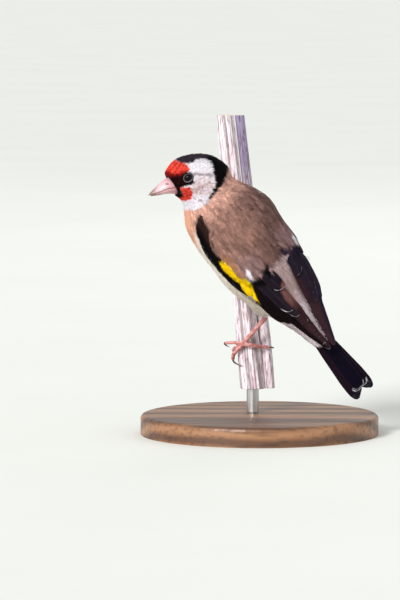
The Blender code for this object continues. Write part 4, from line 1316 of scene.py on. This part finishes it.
tail = {
    "start": -38.9,
    "shift": -0.6,
    "swing": -1.5,
    "pairs": 6,
    "length": 33.6,
    "fork": 3.0,
    "width": 6.4,
    "step": 0.3,
    "rows": 26,
    "seed": 32,
    "blunt": 2,  # middle pairs with blunt, white-edged tips
    "patched": 3,  # the pairs from here outwards have a white patch below
}


def tailTones(index, side, e, t, length):
    # tints of a tail feather from above and from below
    tall, wide = (t + 0 * e).ravel(), (e + 0 * t).ravel()
    colour = np.tile(plumage["tail"], (len(tall), 1))
    colour = mixed(colour, plumage["maroon"], 0.07 * smoothStep(0.85, 1.0, np.abs(wide)))
    rim = np.minimum((1 - tall) * length + 0.1, (1 - np.abs(wide)) * tail["width"] / 2 + 0.1)
    ragged = 0.95 + 0.8 * ripple(np.stack([wide * 3.0, tall * 30.0, tall * 0 + index], 1), 0.8, 34 + index)
    white = (1 - smoothStep(0.16, 0.40, rim)) * smoothStep(0.94, 0.97, tall)
    white = white * (1.0 if index < tail["blunt"] else 0.08)
    colour = mixed(colour, plumage["white"], np.clip(white * ragged, 0, 1))
    if index < tail["patched"]:
        return colour, colour
    patch = smoothStep(0.42, 0.5, tall) * smoothStep(0.84, 0.76, tall) * smoothStep(0.1, 0.25, -side * wide)
    return colour, mixed(colour, plumage["white"], patch * 0.95)


def makeTail():
    swing = math.radians(tail["swing"])
    rear = -forward * math.cos(swing) + left * math.sin(swing)
    toLeft = unit(left - rear * (left @ rear))
    up = np.cross(toLeft, rear)
    start = bodyPoint(tail["start"], tail["shift"], 0.9)
    draw = np.random.default_rng(tail["seed"])
    rows, feathers = tail["rows"], []
    t = vaneRows(rows)[:, None]
    for index in range(tail["pairs"]):
        for side in (1, -1):
            share = index / (tail["pairs"] - 1)
            length = tail["length"] + tail["fork"] * share**1.4 + draw.uniform(-0.3, 0.3)
            shaftAt = side * 0.3 * share
            e = vaneColumns(shaftAt, 0.001)
            half = tail["width"] / 2 * np.interp(t, [0, 0.4, 0.75, 0.88], [0.55, 0.84, 1.0, 0.95])
            blunt = 0.93 if index < tail["blunt"] else 0.86
            end = np.sqrt(np.clip(1 - ((t - blunt) / (1.001 - blunt)) ** 2, 0, 1))
            half = np.where(t > blunt, half * (0.25 + 0.75 * end), half)
            centre = side * (0.3 + 0.5 * t + (0.9 + 1.6 * t) * share)
            reach = length * t - 0.9 * share * smoothStep(0.85, 1.0, t) * np.clip(-side * e, 0, 1)
            acrossAt = centre + e * half
            sink = tail["step"] * (index + (0.5 if side < 0 else 0.0))
            height = -0.012 * acrossAt**2 - sink + 0.08 * (1 - e**2)
            thick = 0.2 * (0.4 + 0.6 * (1 - np.abs(e))) + 0 * t
            spot = start + rear * reach[..., None] + toLeft * acrossAt[..., None]
            top, under = (
                (spot + up * level[..., None]).reshape(-1, 3)
                for level in (height + thick / 2 + shaftRidge(e, shaftAt, t, 0.12), height - thick / 2)
            )
            points, triangles = closedVane(top, under, rows, e.shape[1])
            barb = (reach + np.abs(e - shaftAt) * half * 1.1).ravel()
            tones = np.concatenate(tailTones(index, side, e, t, length))
            feathers.append((points, triangles, tones, np.tile(barb, 2)))
    featherPiece("tailFeathers", feathers, "tail")


makeTail()

# Bill

bill = {
    "length": 10.6,
    "halfWidth": 3.5,
    "rise": 4.0,
    "depth": 3.1,
    "rows": 40,
    "columns": 29,
    "mouthGap": 0.16,
    "mouthPoints": 5,
    "nostril": (1.9, 2.7, 1.7),  # ahead, to the side and up
    "nostrilSize": (0.55, 0.9, 0.34),
    "nostrilDepth": 0.5,
    "root": linear(200, 148, 153),
    "middle": linear(212, 174, 181),
    "dusk": linear(122, 92, 84),
    "tip": linear(96, 74, 62),
    "ridge": linear(150, 118, 104),
    # painted shade in the nostril pits
    "pit": linear(70, 48, 46),
    "edge": linear(176, 124, 112),
    "cere": linear(168, 120, 116),
}


def billTones(points, shares, heights, pit, upper):
    t = np.clip(shares, 0, 1)
    colour = mixed(bill["root"], bill["middle"], smoothStep(0.0, 0.4, t))
    colour = mixed(colour, bill["dusk"], smoothStep(0.45, 0.88, t))
    colour = mixed(colour, bill["tip"], smoothStep(0.86, 1.0, t) * 0.8)
    if upper:
        colour = mixed(colour, bill["ridge"], 0.55 * (smoothStep(0.9, 1.0, heights) * smoothStep(0.2, 0.9, t)))
        # painted shade in the nostril pits
        colour = mixed(colour, bill["pit"], np.clip(pit * 1.3, 0, 1))
    colour = mixed(colour, bill["edge"], (1 - smoothStep(0.02, 0.22, heights)) * 0.45)
    colour = mixed(colour, bill["cere"], 0.5 * smoothStep(0.06, -0.02, shares))
    return np.clip(colour * (1 + 0.05 * ripple(points, 1.6, 41))[:, None], 0, 1)


def makeBill(upper):
    rows, columns = bill["rows"], bill["columns"]
    sign, word = (1, "Upper") if upper else (-1, "Lower")
    last = 1.0 if upper else 0.92
    points, shares, heights = [], [], []
    for t in np.linspace(-0.12, last, rows):
        reach = max(t, 0.0)
        taper = 1 - 0.62 * reach - 0.32 * reach**2.2
        taper *= math.sqrt(min(1.0, max(0.03, (last + 0.003 - t) / 0.10)))
        halfWidth = bill["halfWidth"] * taper
        height = bill["rise"] * taper if upper else bill["depth"] * (1 - 0.94 * reach**0.9)
        mouth = 0.5 * math.sin(math.pi * min(reach * 1.6, 1.0)) * (1 - reach)
        middle = billBase + billAhead * (bill["length"] * t)
        middle = middle + billUp * (-0.15 * reach * reach + mouth - 0.9 * (1 - reach))
        middle = middle + billUp * (sign * bill["mouthGap"] / 2)
        ring = []
        for k in range(columns):
            angle = math.pi * k / (columns - 1)
            wide, high = math.cos(angle), math.sin(angle)
            keel = 1 + 0.05 * high**6 if upper else 1.0
            flank = 1 - 0.06 * math.sin(2 * angle) ** 2
            ring.append((halfWidth * wide * flank, sign * height * high * flank * keel, high))
        for k in range(1, bill["mouthPoints"] + 1):
            # flat side along the mouth, slightly hollow
            w = -math.cos(math.pi * k / (bill["mouthPoints"] + 1))
            ring.append((halfWidth * w * 0.99, sign * 0.10 * height * (1 - w * w), 0.0))
        for toLeft, up, high in ring:
            points.append(middle + billLeft * toLeft + billUp * up)
            shares.append(t)
            heights.append(high)
    points, shares, heights = np.array(points), np.array(shares), np.array(heights)
    pit = np.zeros(len(points))
    if upper:
        ahead, toSide, up = bill["nostril"]
        for side in (1, -1):
            rel = points - (billBase + billAhead * ahead + billUp * up + billLeft * (side * toSide))
            long, wide, high = bill["nostrilSize"]
            away = ((rel @ billAhead) / long) ** 2 + ((rel @ billUp) / high) ** 2 + ((rel @ billLeft) / wide) ** 2
            pit = np.maximum(pit, np.exp(-away))
        centreLine = billBase + billAhead * ((points - billBase) @ billAhead)[:, None]
        points = points - unit(points - centreLine) * (bill["nostrilDepth"] * pit)[:, None]
    piece = meshPiece("bill" + word, points, tubeTriangles(rows, columns + bill["mouthPoints"]))
    faceOutwards(piece)
    setTint(piece.data, billTones(points, shares, heights, pit, upper))
    setValue(piece.data, "along", np.stack(billCoords(points), 1), "FLOAT_VECTOR", "vector")
    finishPiece(piece, billHorn, ["bill_" + word.lower()])


def hornMaterial():
    # bill horn: fine streaks along it, waxy and slightly see-through
    material, tree, shader = newMaterial("billHorn")
    place = stretched(tree, addAttribute(tree, "along", "Vector"), (0.35, 3.0, 3.0))
    streak = addNoise(tree, place, 1.6, 5.0).outputs[0]
    paintTint(tree, shader, addRamp(tree, streak, [(0.3, (0.84, 0.80, 0.79)), (0.62, (1.05, 1.04, 1.03))]))
    addRoughness(tree, shader, streak, (0.3, 0.46), (0.7, 0.3))
    shader.inputs["Subsurface Weight"].default_value = 0.15
    shader.inputs["Subsurface Radius"].default_value = (0.9, 0.5, 0.4)
    shader.inputs["Subsurface Scale"].default_value = 0.0008
    addBump(tree, shader, streak, 0.25, 0.00008)
    return material


billHorn = hornMaterial()
makeBill(True)
makeBill(False)
print("bill finished")

# Eyes

eye = {
    "radius": 2.3,
    "rings": 32,
    "segments": 48,
    "cornea": 0.10,
    "pupil": linear(4, 3, 4),
    "iris": linear(20, 12, 10),
    "irisReach": (28.0, 47.0),  # degrees from the pupil's middle
    "white": linear(8, 5, 6),
    "openingLong": 1.72,
    "openingHigh": 1.36,
    "openingTilt": 0.35,
    "lidOuter": 2.16,
    "lidLift": 0.13,
    "lidRim": 0.12,
    "lid": linear(26, 18, 20),
    "lidEdge": linear(140, 128, 134),
}


def eyeMaterial():
    # wet black eye with a dark brown iris
    material, tree, shader = newMaterial("wetEye")
    paintTint(tree, shader, addRamp(tree, objectNoise(tree, 2200.0), [(0.3, grey(0.6)), (0.7, grey(1.3))]))
    shader.inputs["Roughness"].default_value = 0.04
    shader.inputs["Specular IOR Level"].default_value = 0.12
    return material


def lidMaterial():
    # bare dark rim round the eye, softly wrinkled
    material, tree, shader = newMaterial("eyeRim")
    crease = objectNoise(tree, 3000.0)
    paintTint(tree, shader, addRamp(tree, crease, [(0.3, grey(0.7)), (0.7, grey(1.2))]))
    shader.inputs["Roughness"].default_value = 0.5
    addBump(tree, shader, crease, 0.6, 0.00006)
    return material


def ballPiece(name, radius, rings, segments):
    # a ball round the origin with its poles along z, its faces in the same order in each run
    theta = np.pi * np.arange(1, rings)[:, None] / rings
    phi = 2 * np.pi * np.arange(segments)[None, :] / segments
    ring = np.stack([np.sin(theta) * np.cos(phi), np.sin(theta) * np.sin(phi), np.cos(theta) + 0 * phi], -1)
    points = np.concatenate([ring.reshape(-1, 3), [(0, 0, 1), (0, 0, -1)]]) * radius
    k = np.arange(segments)
    ends = []
    for pole, start in ((len(points) - 2, 0), (len(points) - 1, (rings - 2) * segments)):
        ends.append(np.stack([np.full(segments, pole), start + k, start + (k + 1) % segments], 1))
    # the fan at the first pole faces outwards, and the rings and the other fan are turned to match
    rest = np.concatenate([gridTriangles(rings - 1, segments, closed=True)[:, ::-1], ends[1][:, ::-1]])
    piece = meshPiece(name, points, np.concatenate([ends[0], rest]))
    faceOutwards(piece)
    return piece


def makeEye(side, name):
    centre, out = eyeCentre(side), eyeOut(side)
    turnTo = Vector((0, 0, 1)).rotation_difference(Vector(out)).to_matrix()
    piece = ballPiece(name, eye["radius"], eye["rings"], eye["segments"])
    points = meshPoints(piece.data)
    theta = np.degrees(np.arccos(np.clip(points[:, 2] / eye["radius"], -1, 1)))
    swell = 1 + eye["cornea"] * smoothStep(48, 10, theta) / eye["radius"]
    points = points * swell[:, None]
    setPoints(piece.data, points @ np.array(turnTo).T + centre)
    inner, outer = eye["irisReach"]
    tone = mixed(eye["pupil"], eye["iris"], smoothStep(inner - 2, inner + 2, theta))
    setTint(piece.data, mixed(tone, eye["white"], smoothStep(outer - 3, outer + 3, theta)))
    finishPiece(piece, wetEye, ["eye_" + sideWord[side]])


def makeLid(side, name):
    # a band of bare skin round an oval opening, with a raised paler rim
    centre, out = eyeCentre(side), eyeOut(side)
    ahead = unit(headAhead - out * (headAhead @ out))
    up = np.cross(out, ahead) * (1 if (np.cross(out, ahead) @ headUp) > 0 else -1)
    rows, columns = 72, 12
    points, heights, inward = [], [], []
    for r in range(rows):
        a = 2 * math.pi * r / rows
        direction = ahead * math.cos(a) + up * math.sin(a)
        along, across = math.cos(a + eye["openingTilt"]), math.sin(a + eye["openingTilt"])
        opening = 1 / math.hypot(along / eye["openingLong"], across / eye["openingHigh"])
        for c in range(columns):
            # over the top from the opening outwards, then back underneath
            onTop = c < columns / 2
            share = (c if onTop else columns - 1 - c) / (columns / 2 - 1)
            radius = opening + (eye["lidOuter"] - opening) * share
            height = eye["lidLift"] + eye["lidRim"] * math.exp(-(share / 0.28) ** 2) if onTop else -0.05
            turned = math.asin(radius / eye["radius"])
            towards = out * math.cos(turned) + direction * math.sin(turned)
            points.append(centre + towards * (eye["radius"] + height))
            heights.append(math.sin(a - 0.5))
            inward.append(share)
    # the last row joins the first
    triangles = gridTriangles(rows + 1, columns, closed=True) % (rows * columns)
    piece = meshPiece(name, points, triangles)
    faceOutwards(piece)
    heights, inward = np.array(heights), np.array(inward)
    rim = smoothStep(0.35, 0.05, inward) * (0.35 + 0.65 * smoothStep(0.5, -0.3, heights))
    setTint(piece.data, mixed(eye["lid"], eye["lidEdge"], rim * 0.7))
    finishPiece(piece, eyeRim)


wetEye, eyeRim = eyeMaterial(), lidMaterial()
for side, word in ((1, "Left"), (-1, "Right")):
    makeEye(side, "eye" + word)
    makeLid(side, "eyelid" + word)
print("eyes finished")

# Claws


claw = {"root": linear(150, 104, 92), "tip": linear(48, 34, 32)}


def clawMaterial():
    # dark horn, paler at the root, with grooves along it
    material, tree, shader = newMaterial("clawHorn")
    streak = objectNoise(tree, 1500.0, 5.0)
    paintTint(tree, shader, addRamp(tree, streak, [(0.3, grey(0.7)), (0.7, grey(1.25))]))
    addRoughness(tree, shader, streak, (0.3, 0.42), (0.7, 0.26))
    addBump(tree, shader, streak, 0.3, 0.00005)
    return material


def makeClaw(node):
    piece = nodeCopy(node)
    word, number = node.split("_")[1:]
    piece.name = "claw" + word.capitalize() + number
    applyModifier(piece, "SUBSURF", levels=1, render_levels=1)
    # the root is the end nearest its foot
    low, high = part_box("foot_" + word)
    away = np.linalg.norm(meshPoints(piece.data) - np.array(low + high) / 2 / mm, axis=1)
    along = (away - away.min()) / (away.max() - away.min() + 1e-9)
    setTint(piece.data, mixed(claw["root"], claw["tip"], smoothStep(0.1, 0.7, along)))
    finishPiece(piece, clawHorn, [node])


clawHorn = clawMaterial()
for node in sorted(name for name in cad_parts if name.startswith("claw_")):
    makeClaw(node)
print("claws finished")

# Perch: two dry stems grown together, fluted and weathered

perch = {
    # height, left-right and front-back place, radius
    "main": [(18.0, -2.7, 4.3, 5.1), (35.0, -4.4, 5.2, 4.8), (76.0, -8.6, 8.2, 4.2), (128.0, -13.9, 11.6, 3.5)],
    "side": [(18.0, 3.7, 5.6, 2.6), (35.0, 2.4, 6.6, 2.5), (76.0, -2.2, 9.8, 2.2), (128.0, -8.0, 12.6, 1.9)],
    "rows": 300,
    "columns": (150, 90),
    "ridges": (6, 4),
    "seeds": (51, 52),
    "cracks": 14,
    "waves": 10,
    # rings of the cut ends: share of the radius and how far they are sunk
    "cut": ((0.86, 0.0), (0.55, 0.1), (0.3, 0.35), (0.22, 1.0)),
    "dish": 0.5,
    "shaded": (84.0, 112.0),  # heights between which the side stem falls in the shade
    "crack": linear(104, 78, 84),
    "fibre": linear(218, 200, 204),
    "pale": linear(252, 244, 250),
    "palest": linear(252, 246, 252),
    "mauve": linear(226, 206, 216),
    "stain": linear(238, 228, 230),
    # painted shade in the cracks and flute hollows
    "hollowShade": linear(98, 72, 72),
    "shade": linear(150, 144, 172),
    "wood": (linear(188, 158, 122), linear(232, 212, 178)),
    "pith": linear(116, 84, 62),
}


def makeStem(stations, columns, ridges, seed, shaded):
    rows = perch["rows"]
    table = tableOf(stations)
    draw = np.random.default_rng(seed)
    height = np.linspace(stations[0][0], stations[-1][0], rows)
    x, y, radius = readTable(table, height)
    a, z = np.meshgrid(2 * np.pi * np.arange(columns) / columns, height)
    r = np.repeat(radius[:, None], columns, 1)
    relief = -0.05 * ((1 + np.cos(ridges * a + z / 17.0)) / 2) * r
    for _ in range(perch["cracks"]):
        # fibres and cracks that run up the stem
        at, drift = draw.uniform(0, 2 * np.pi), draw.uniform(-0.004, 0.004)
        low, span = draw.uniform(10, 110), draw.uniform(18, 70)
        wide = draw.uniform(0.035, 0.09)
        gap = np.angle(np.exp(1j * (a - at - drift * (z - low))))
        fade = smoothStep(low, low + 8, z) * smoothStep(low + span, low + span - 10, z)
        relief += -draw.uniform(0.08, 0.26) * np.exp(-((gap / wide) ** 2)) * fade
    for _ in range(perch["waves"]):
        count, phase = draw.integers(12, 44), draw.uniform(0, 6.3)
        relief += 0.026 * np.sin(count * a + phase + 0.9 * np.sin(z / draw.uniform(6, 16)))
    outward = r + relief
    points = np.stack([x[:, None] + outward * np.sin(a), y[:, None] - outward * np.cos(a), z], -1).reshape(-1, 3)
    place = np.stack([np.sin(a) * r, -np.cos(a) * r, z], -1).reshape(-1, 3)
    # cut ends with a dished pith
    ends, extra, extraPlace, cut = [], [], [], [0.0] * len(points)
    for level, dip in ((0, perch["dish"]), (rows - 1, -perch["dish"])):
        start = level * columns
        ring = list(range(start, start + columns))
        middle = np.array([x[level], y[level], height[level]])
        for share, sunk in perch["cut"]:
            base = len(points) + len(extra)
            for k in range(columns):
                extra.append(middle + (points[start + k] - middle) * share + np.array([0, 0, dip * sunk]))
                extraPlace.append(place[start + k] * share)
                cut.append(1.0 if share > 0.25 else 1.6)
            fresh = list(range(base, base + columns))
            for k in range(columns):
                m = (k + 1) % columns
                ends += [(ring[k], ring[m], fresh[m]), (ring[k], fresh[m], fresh[k])]
            ring = fresh
        base = len(points) + len(extra)
        extra.append(middle + np.array([0, 0, dip]))
        extraPlace.append(np.array([0, 0, height[level]]))
        cut.append(1.8)
        ends += [(ring[k], ring[(k + 1) % columns], base) for k in range(columns)]
    points = np.concatenate([points, np.array(extra)])
    piece = meshPiece("stem", points, np.concatenate([gridTriangles(rows, columns, closed=True), np.array(ends)]))
    faceOutwards(piece)
    # how deep the cracks and flute hollows sink, for their painted shade
    hollowShade = np.concatenate([np.clip(-(relief + 0.03).ravel() / 0.22, 0, 1), np.zeros(len(extra))])
    setValue(piece.data, "grain", np.concatenate([place, np.array(extraPlace)]), "FLOAT_VECTOR", "vector")
    setValue(piece.data, "hollowShade", hollowShade)
    setValue(piece.data, "cutEnd", cut)
    setValue(piece.data, "shadeSide", smoothStep(*perch["shaded"], points[:, 2]) * shaded)
    return piece


def barkMaterial():
    # bleached dry stem: pinkish white fibre, brown and mauve streaks, painted shade in the cracks and flute hollows
    # and on the side stem's top
    material, tree, shader = newMaterial("dryStem")
    grain = addAttribute(tree, "grain", "Vector")
    hollowShade, cut, shadeSide = (addAttribute(tree, name) for name in ("hollowShade", "cutEnd", "shadeSide"))
    fine = addNoise(tree, stretched(tree, grain, (1.0, 1.0, 0.07)), 3.0, 6.0, 0.62).outputs[0]
    wide = addNoise(tree, stretched(tree, grain, (0.5, 0.5, 0.03)), 1.2, 3.0).outputs[0]
    patchy = addNoise(tree, grain, 0.22, 3.0).outputs[0]
    rings = addNoise(tree, grain, 1.8, 5.0).outputs[0]
    fibres = [(0.36, perch["crack"]), (0.43, perch["fibre"]), (0.50, perch["pale"]), (0.8, perch["palest"])]
    colour = addRamp(tree, fine, fibres)
    colour = addMix(tree, "MULTIPLY", 0.7, colour, addRamp(tree, wide, [(0.5, grey(1.0)), (0.68, perch["mauve"])]))
    colour = addMix(tree, "MULTIPLY", 0.8, colour, addRamp(tree, patchy, [(0.4, grey(1.0)), (0.7, perch["stain"])]))
    # painted shade in the cracks and flute hollows
    colour = addMix(tree, "MIX", addMath(tree, "MULTIPLY", hollowShade, 0.7), colour, (*perch["hollowShade"], 1.0))
    colour = addMix(tree, "MULTIPLY", addMath(tree, "MULTIPLY", shadeSide, 0.95), colour, (*perch["shade"], 1.0))
    inside = addRamp(tree, rings, [(0.3, perch["wood"][0]), (0.7, perch["wood"][1])])
    colour = addMix(tree, "MIX", addMath(tree, "MINIMUM", cut, 1.0), colour, inside)
    pith = addNode(tree, "ShaderNodeMapRange", Value=cut, i1=1.1, i2=1.7).outputs[0]
    colour = addMix(tree, "MIX", pith, colour, (*perch["pith"], 1.0))
    tree.links.new(colour, shader.inputs["Base Color"])
    addRoughness(tree, shader, fine, (0.3, 0.92), (0.7, 0.7))
    shader.inputs["Specular IOR Level"].default_value = 0.3
    addBump(tree, shader, fine, 0.6, 0.00025)
    return material


dryStem = barkMaterial()
stems = [
    makeStem(perch[name], *settings)
    for name, *settings in zip(("main", "side"), perch["columns"], perch["ridges"], perch["seeds"], (0.0, 1.0))
]
stem = joinPieces(stems, "perchStem")
finishPiece(stem, dryStem, ["perch_stem"])
print("perch:", len(stem.data.polygons), "triangles")

# Stand


stand = {
    "wood": (linear(92, 60, 40), linear(134, 92, 62), linear(156, 112, 78)),
    "grain": 42.0,
    "woodPlace": (0.0, 0.03, 0.06),
    "bend": (0.012, 0.012, 0.012),
}


def woodMaterial():
    # oiled walnut disc with grain along the picture's width
    material, tree, shader = newMaterial("oiledWood")
    place = addNode(tree, "ShaderNodeTexCoord").outputs["Object"]
    place = stretched(tree, place, (0.22, 1.0, 1.0), Location=stand["woodPlace"])
    bend = addNoise(tree, place, 18.0, 3.0).outputs[1]
    adding = {"operation": "MULTIPLY_ADD"}
    shifted = addNode(tree, "ShaderNodeVectorMath", adding, i0=bend, i1=stand["bend"], i2=place)
    kinds = {"wave_type": "RINGS", "rings_direction": "X"}
    rings = addNode(
        tree, "ShaderNodeTexWave", kinds, Vector=shifted.outputs[0], Scale=stand["grain"], Distortion=2.2, Detail=3.0
    )
    pores = objectNoise(tree, 700.0, 4.0, (0.06, 1.0, 1.0))
    base = addRamp(tree, rings.outputs[1], list(zip((0.1, 0.6, 1.0), stand["wood"])))
    dark = addRamp(tree, pores, [(0.34, (0.55, 0.5, 0.46)), (0.5, grey(1.0))])
    tree.links.new(addMix(tree, "MULTIPLY", 0.85, base, dark), shader.inputs["Base Color"])
    addRoughness(tree, shader, pores, (0.3, 0.55), (0.6, 0.36))
    shader.inputs["Coat Weight"].default_value = 0.12
    shader.inputs["Coat Roughness"].default_value = 0.3
    addBump(tree, shader, pores, 0.25, 0.0001)
    return material


def metalMaterial():
    # brushed steel rod
    material, tree, shader = newMaterial("brushedSteel")
    brushed = objectNoise(tree, 900.0, 4.0, (1.0, 1.0, 0.05))
    tree.links.new(addRamp(tree, brushed, [(0.3, grey(0.42)), (0.7, grey(0.66))]), shader.inputs["Base Color"])
    addRoughness(tree, shader, brushed, (0.3, 0.42), (0.7, 0.26))
    shader.inputs["Metallic"].default_value = 1.0
    addBump(tree, shader, brushed, 0.2, 0.00005)
    return material


for node, material in (("stand_base", woodMaterial()), ("stand_rod", metalMaterial())):
    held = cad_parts[node]
    held.data.materials.clear()
    held.data.materials.append(material)
print("stand finished")

# Floor, light and camera

studio = {
    "floor": linear(228, 229, 224),
    "floorRadius": 60.0,  # metres
    "sunPower": 2.9,
    "sunFrom": (-0.80, -1.3, 0.90),
    "sunSoftness": 16.0,  # degrees
    "lampAim": (-0.005, -0.012, 0.075),  # metres
    "lamps": {  # power, place and size in metres
        "fill": (2.4, (1.3, -1.0, 0.5), 1.0),
        "low": (4.6, (-1.0, -1.0, 0.08), 0.8),
        "rim": (2.5, (0.5, 1.2, 1.0), 0.8),
    },
    "world": 0.68,
    "worldColour": (0.93, 0.95, 0.94),
    "aim": (-24.0, -10.0, 55.0),
    "elevation": 5.0,
    "distance": 1600.0,
    "lens": 240.0,
    "sensor": 36.0,
}


def floorMaterial():
    material, tree, shader = newMaterial("paleFloor")
    shade = addRamp(tree, objectNoise(tree, 6.0, 3.0), [(0.3, studio["floor"] * 0.97), (0.7, studio["floor"])])
    tree.links.new(shade, shader.inputs["Base Color"])
    shader.inputs["Roughness"].default_value = 0.85
    return material


def placed(name, data, location, sight):
    # a lamp or camera at a place in metres that looks along sight
    holder = bpy.data.objects.new(name, data)
    holder.location = location
    holder.rotation_euler = sight.to_track_quat("-Z", "Y").to_euler()
    scene.collection.objects.link(holder)
    return holder


def makeStudio():
    deselectAll()
    bpy.ops.mesh.primitive_circle_add(vertices=96, radius=studio["floorRadius"], fill_type="NGON", location=(0, 0, 0))
    floor = bpy.context.object
    floor.name = "floor"
    floor.data.materials.append(floorMaterial())
    sun = bpy.data.lights.new("sun", "SUN")
    sun.energy = studio["sunPower"]
    sun.angle = math.radians(studio["sunSoftness"])
    placed("sun", sun, (0, 0, 0), -Vector(studio["sunFrom"]))
    for name, (power, place, size) in studio["lamps"].items():
        lamp = bpy.data.lights.new(name, "AREA")
        lamp.energy = power
        lamp.shape = "DISK"
        lamp.size = size
        placed(name, lamp, place, Vector(studio["lampAim"]) - Vector(place))
    world = bpy.data.worlds.new("studio")
    world.use_nodes = True
    background = world.node_tree.nodes["Background"]
    background.inputs[0].default_value = (*studio["worldColour"], 1.0)
    background.inputs[1].default_value = studio["world"]
    scene.world = world
    tilt = math.radians(studio["elevation"])
    sight = Vector((0, math.cos(tilt), -math.sin(tilt)))
    lens = bpy.data.cameras.new("camera")
    lens.lens = studio["lens"]
    lens.sensor_fit = "VERTICAL"
    lens.sensor_height = studio["sensor"]
    lens.clip_start = 0.05
    location = Vector(studio["aim"]) * mm - sight * (studio["distance"] * mm)
    scene.camera = placed("camera", lens, location, sight)
    scene.view_settings.view_transform = "Standard"


makeStudio()
print("studio finished")
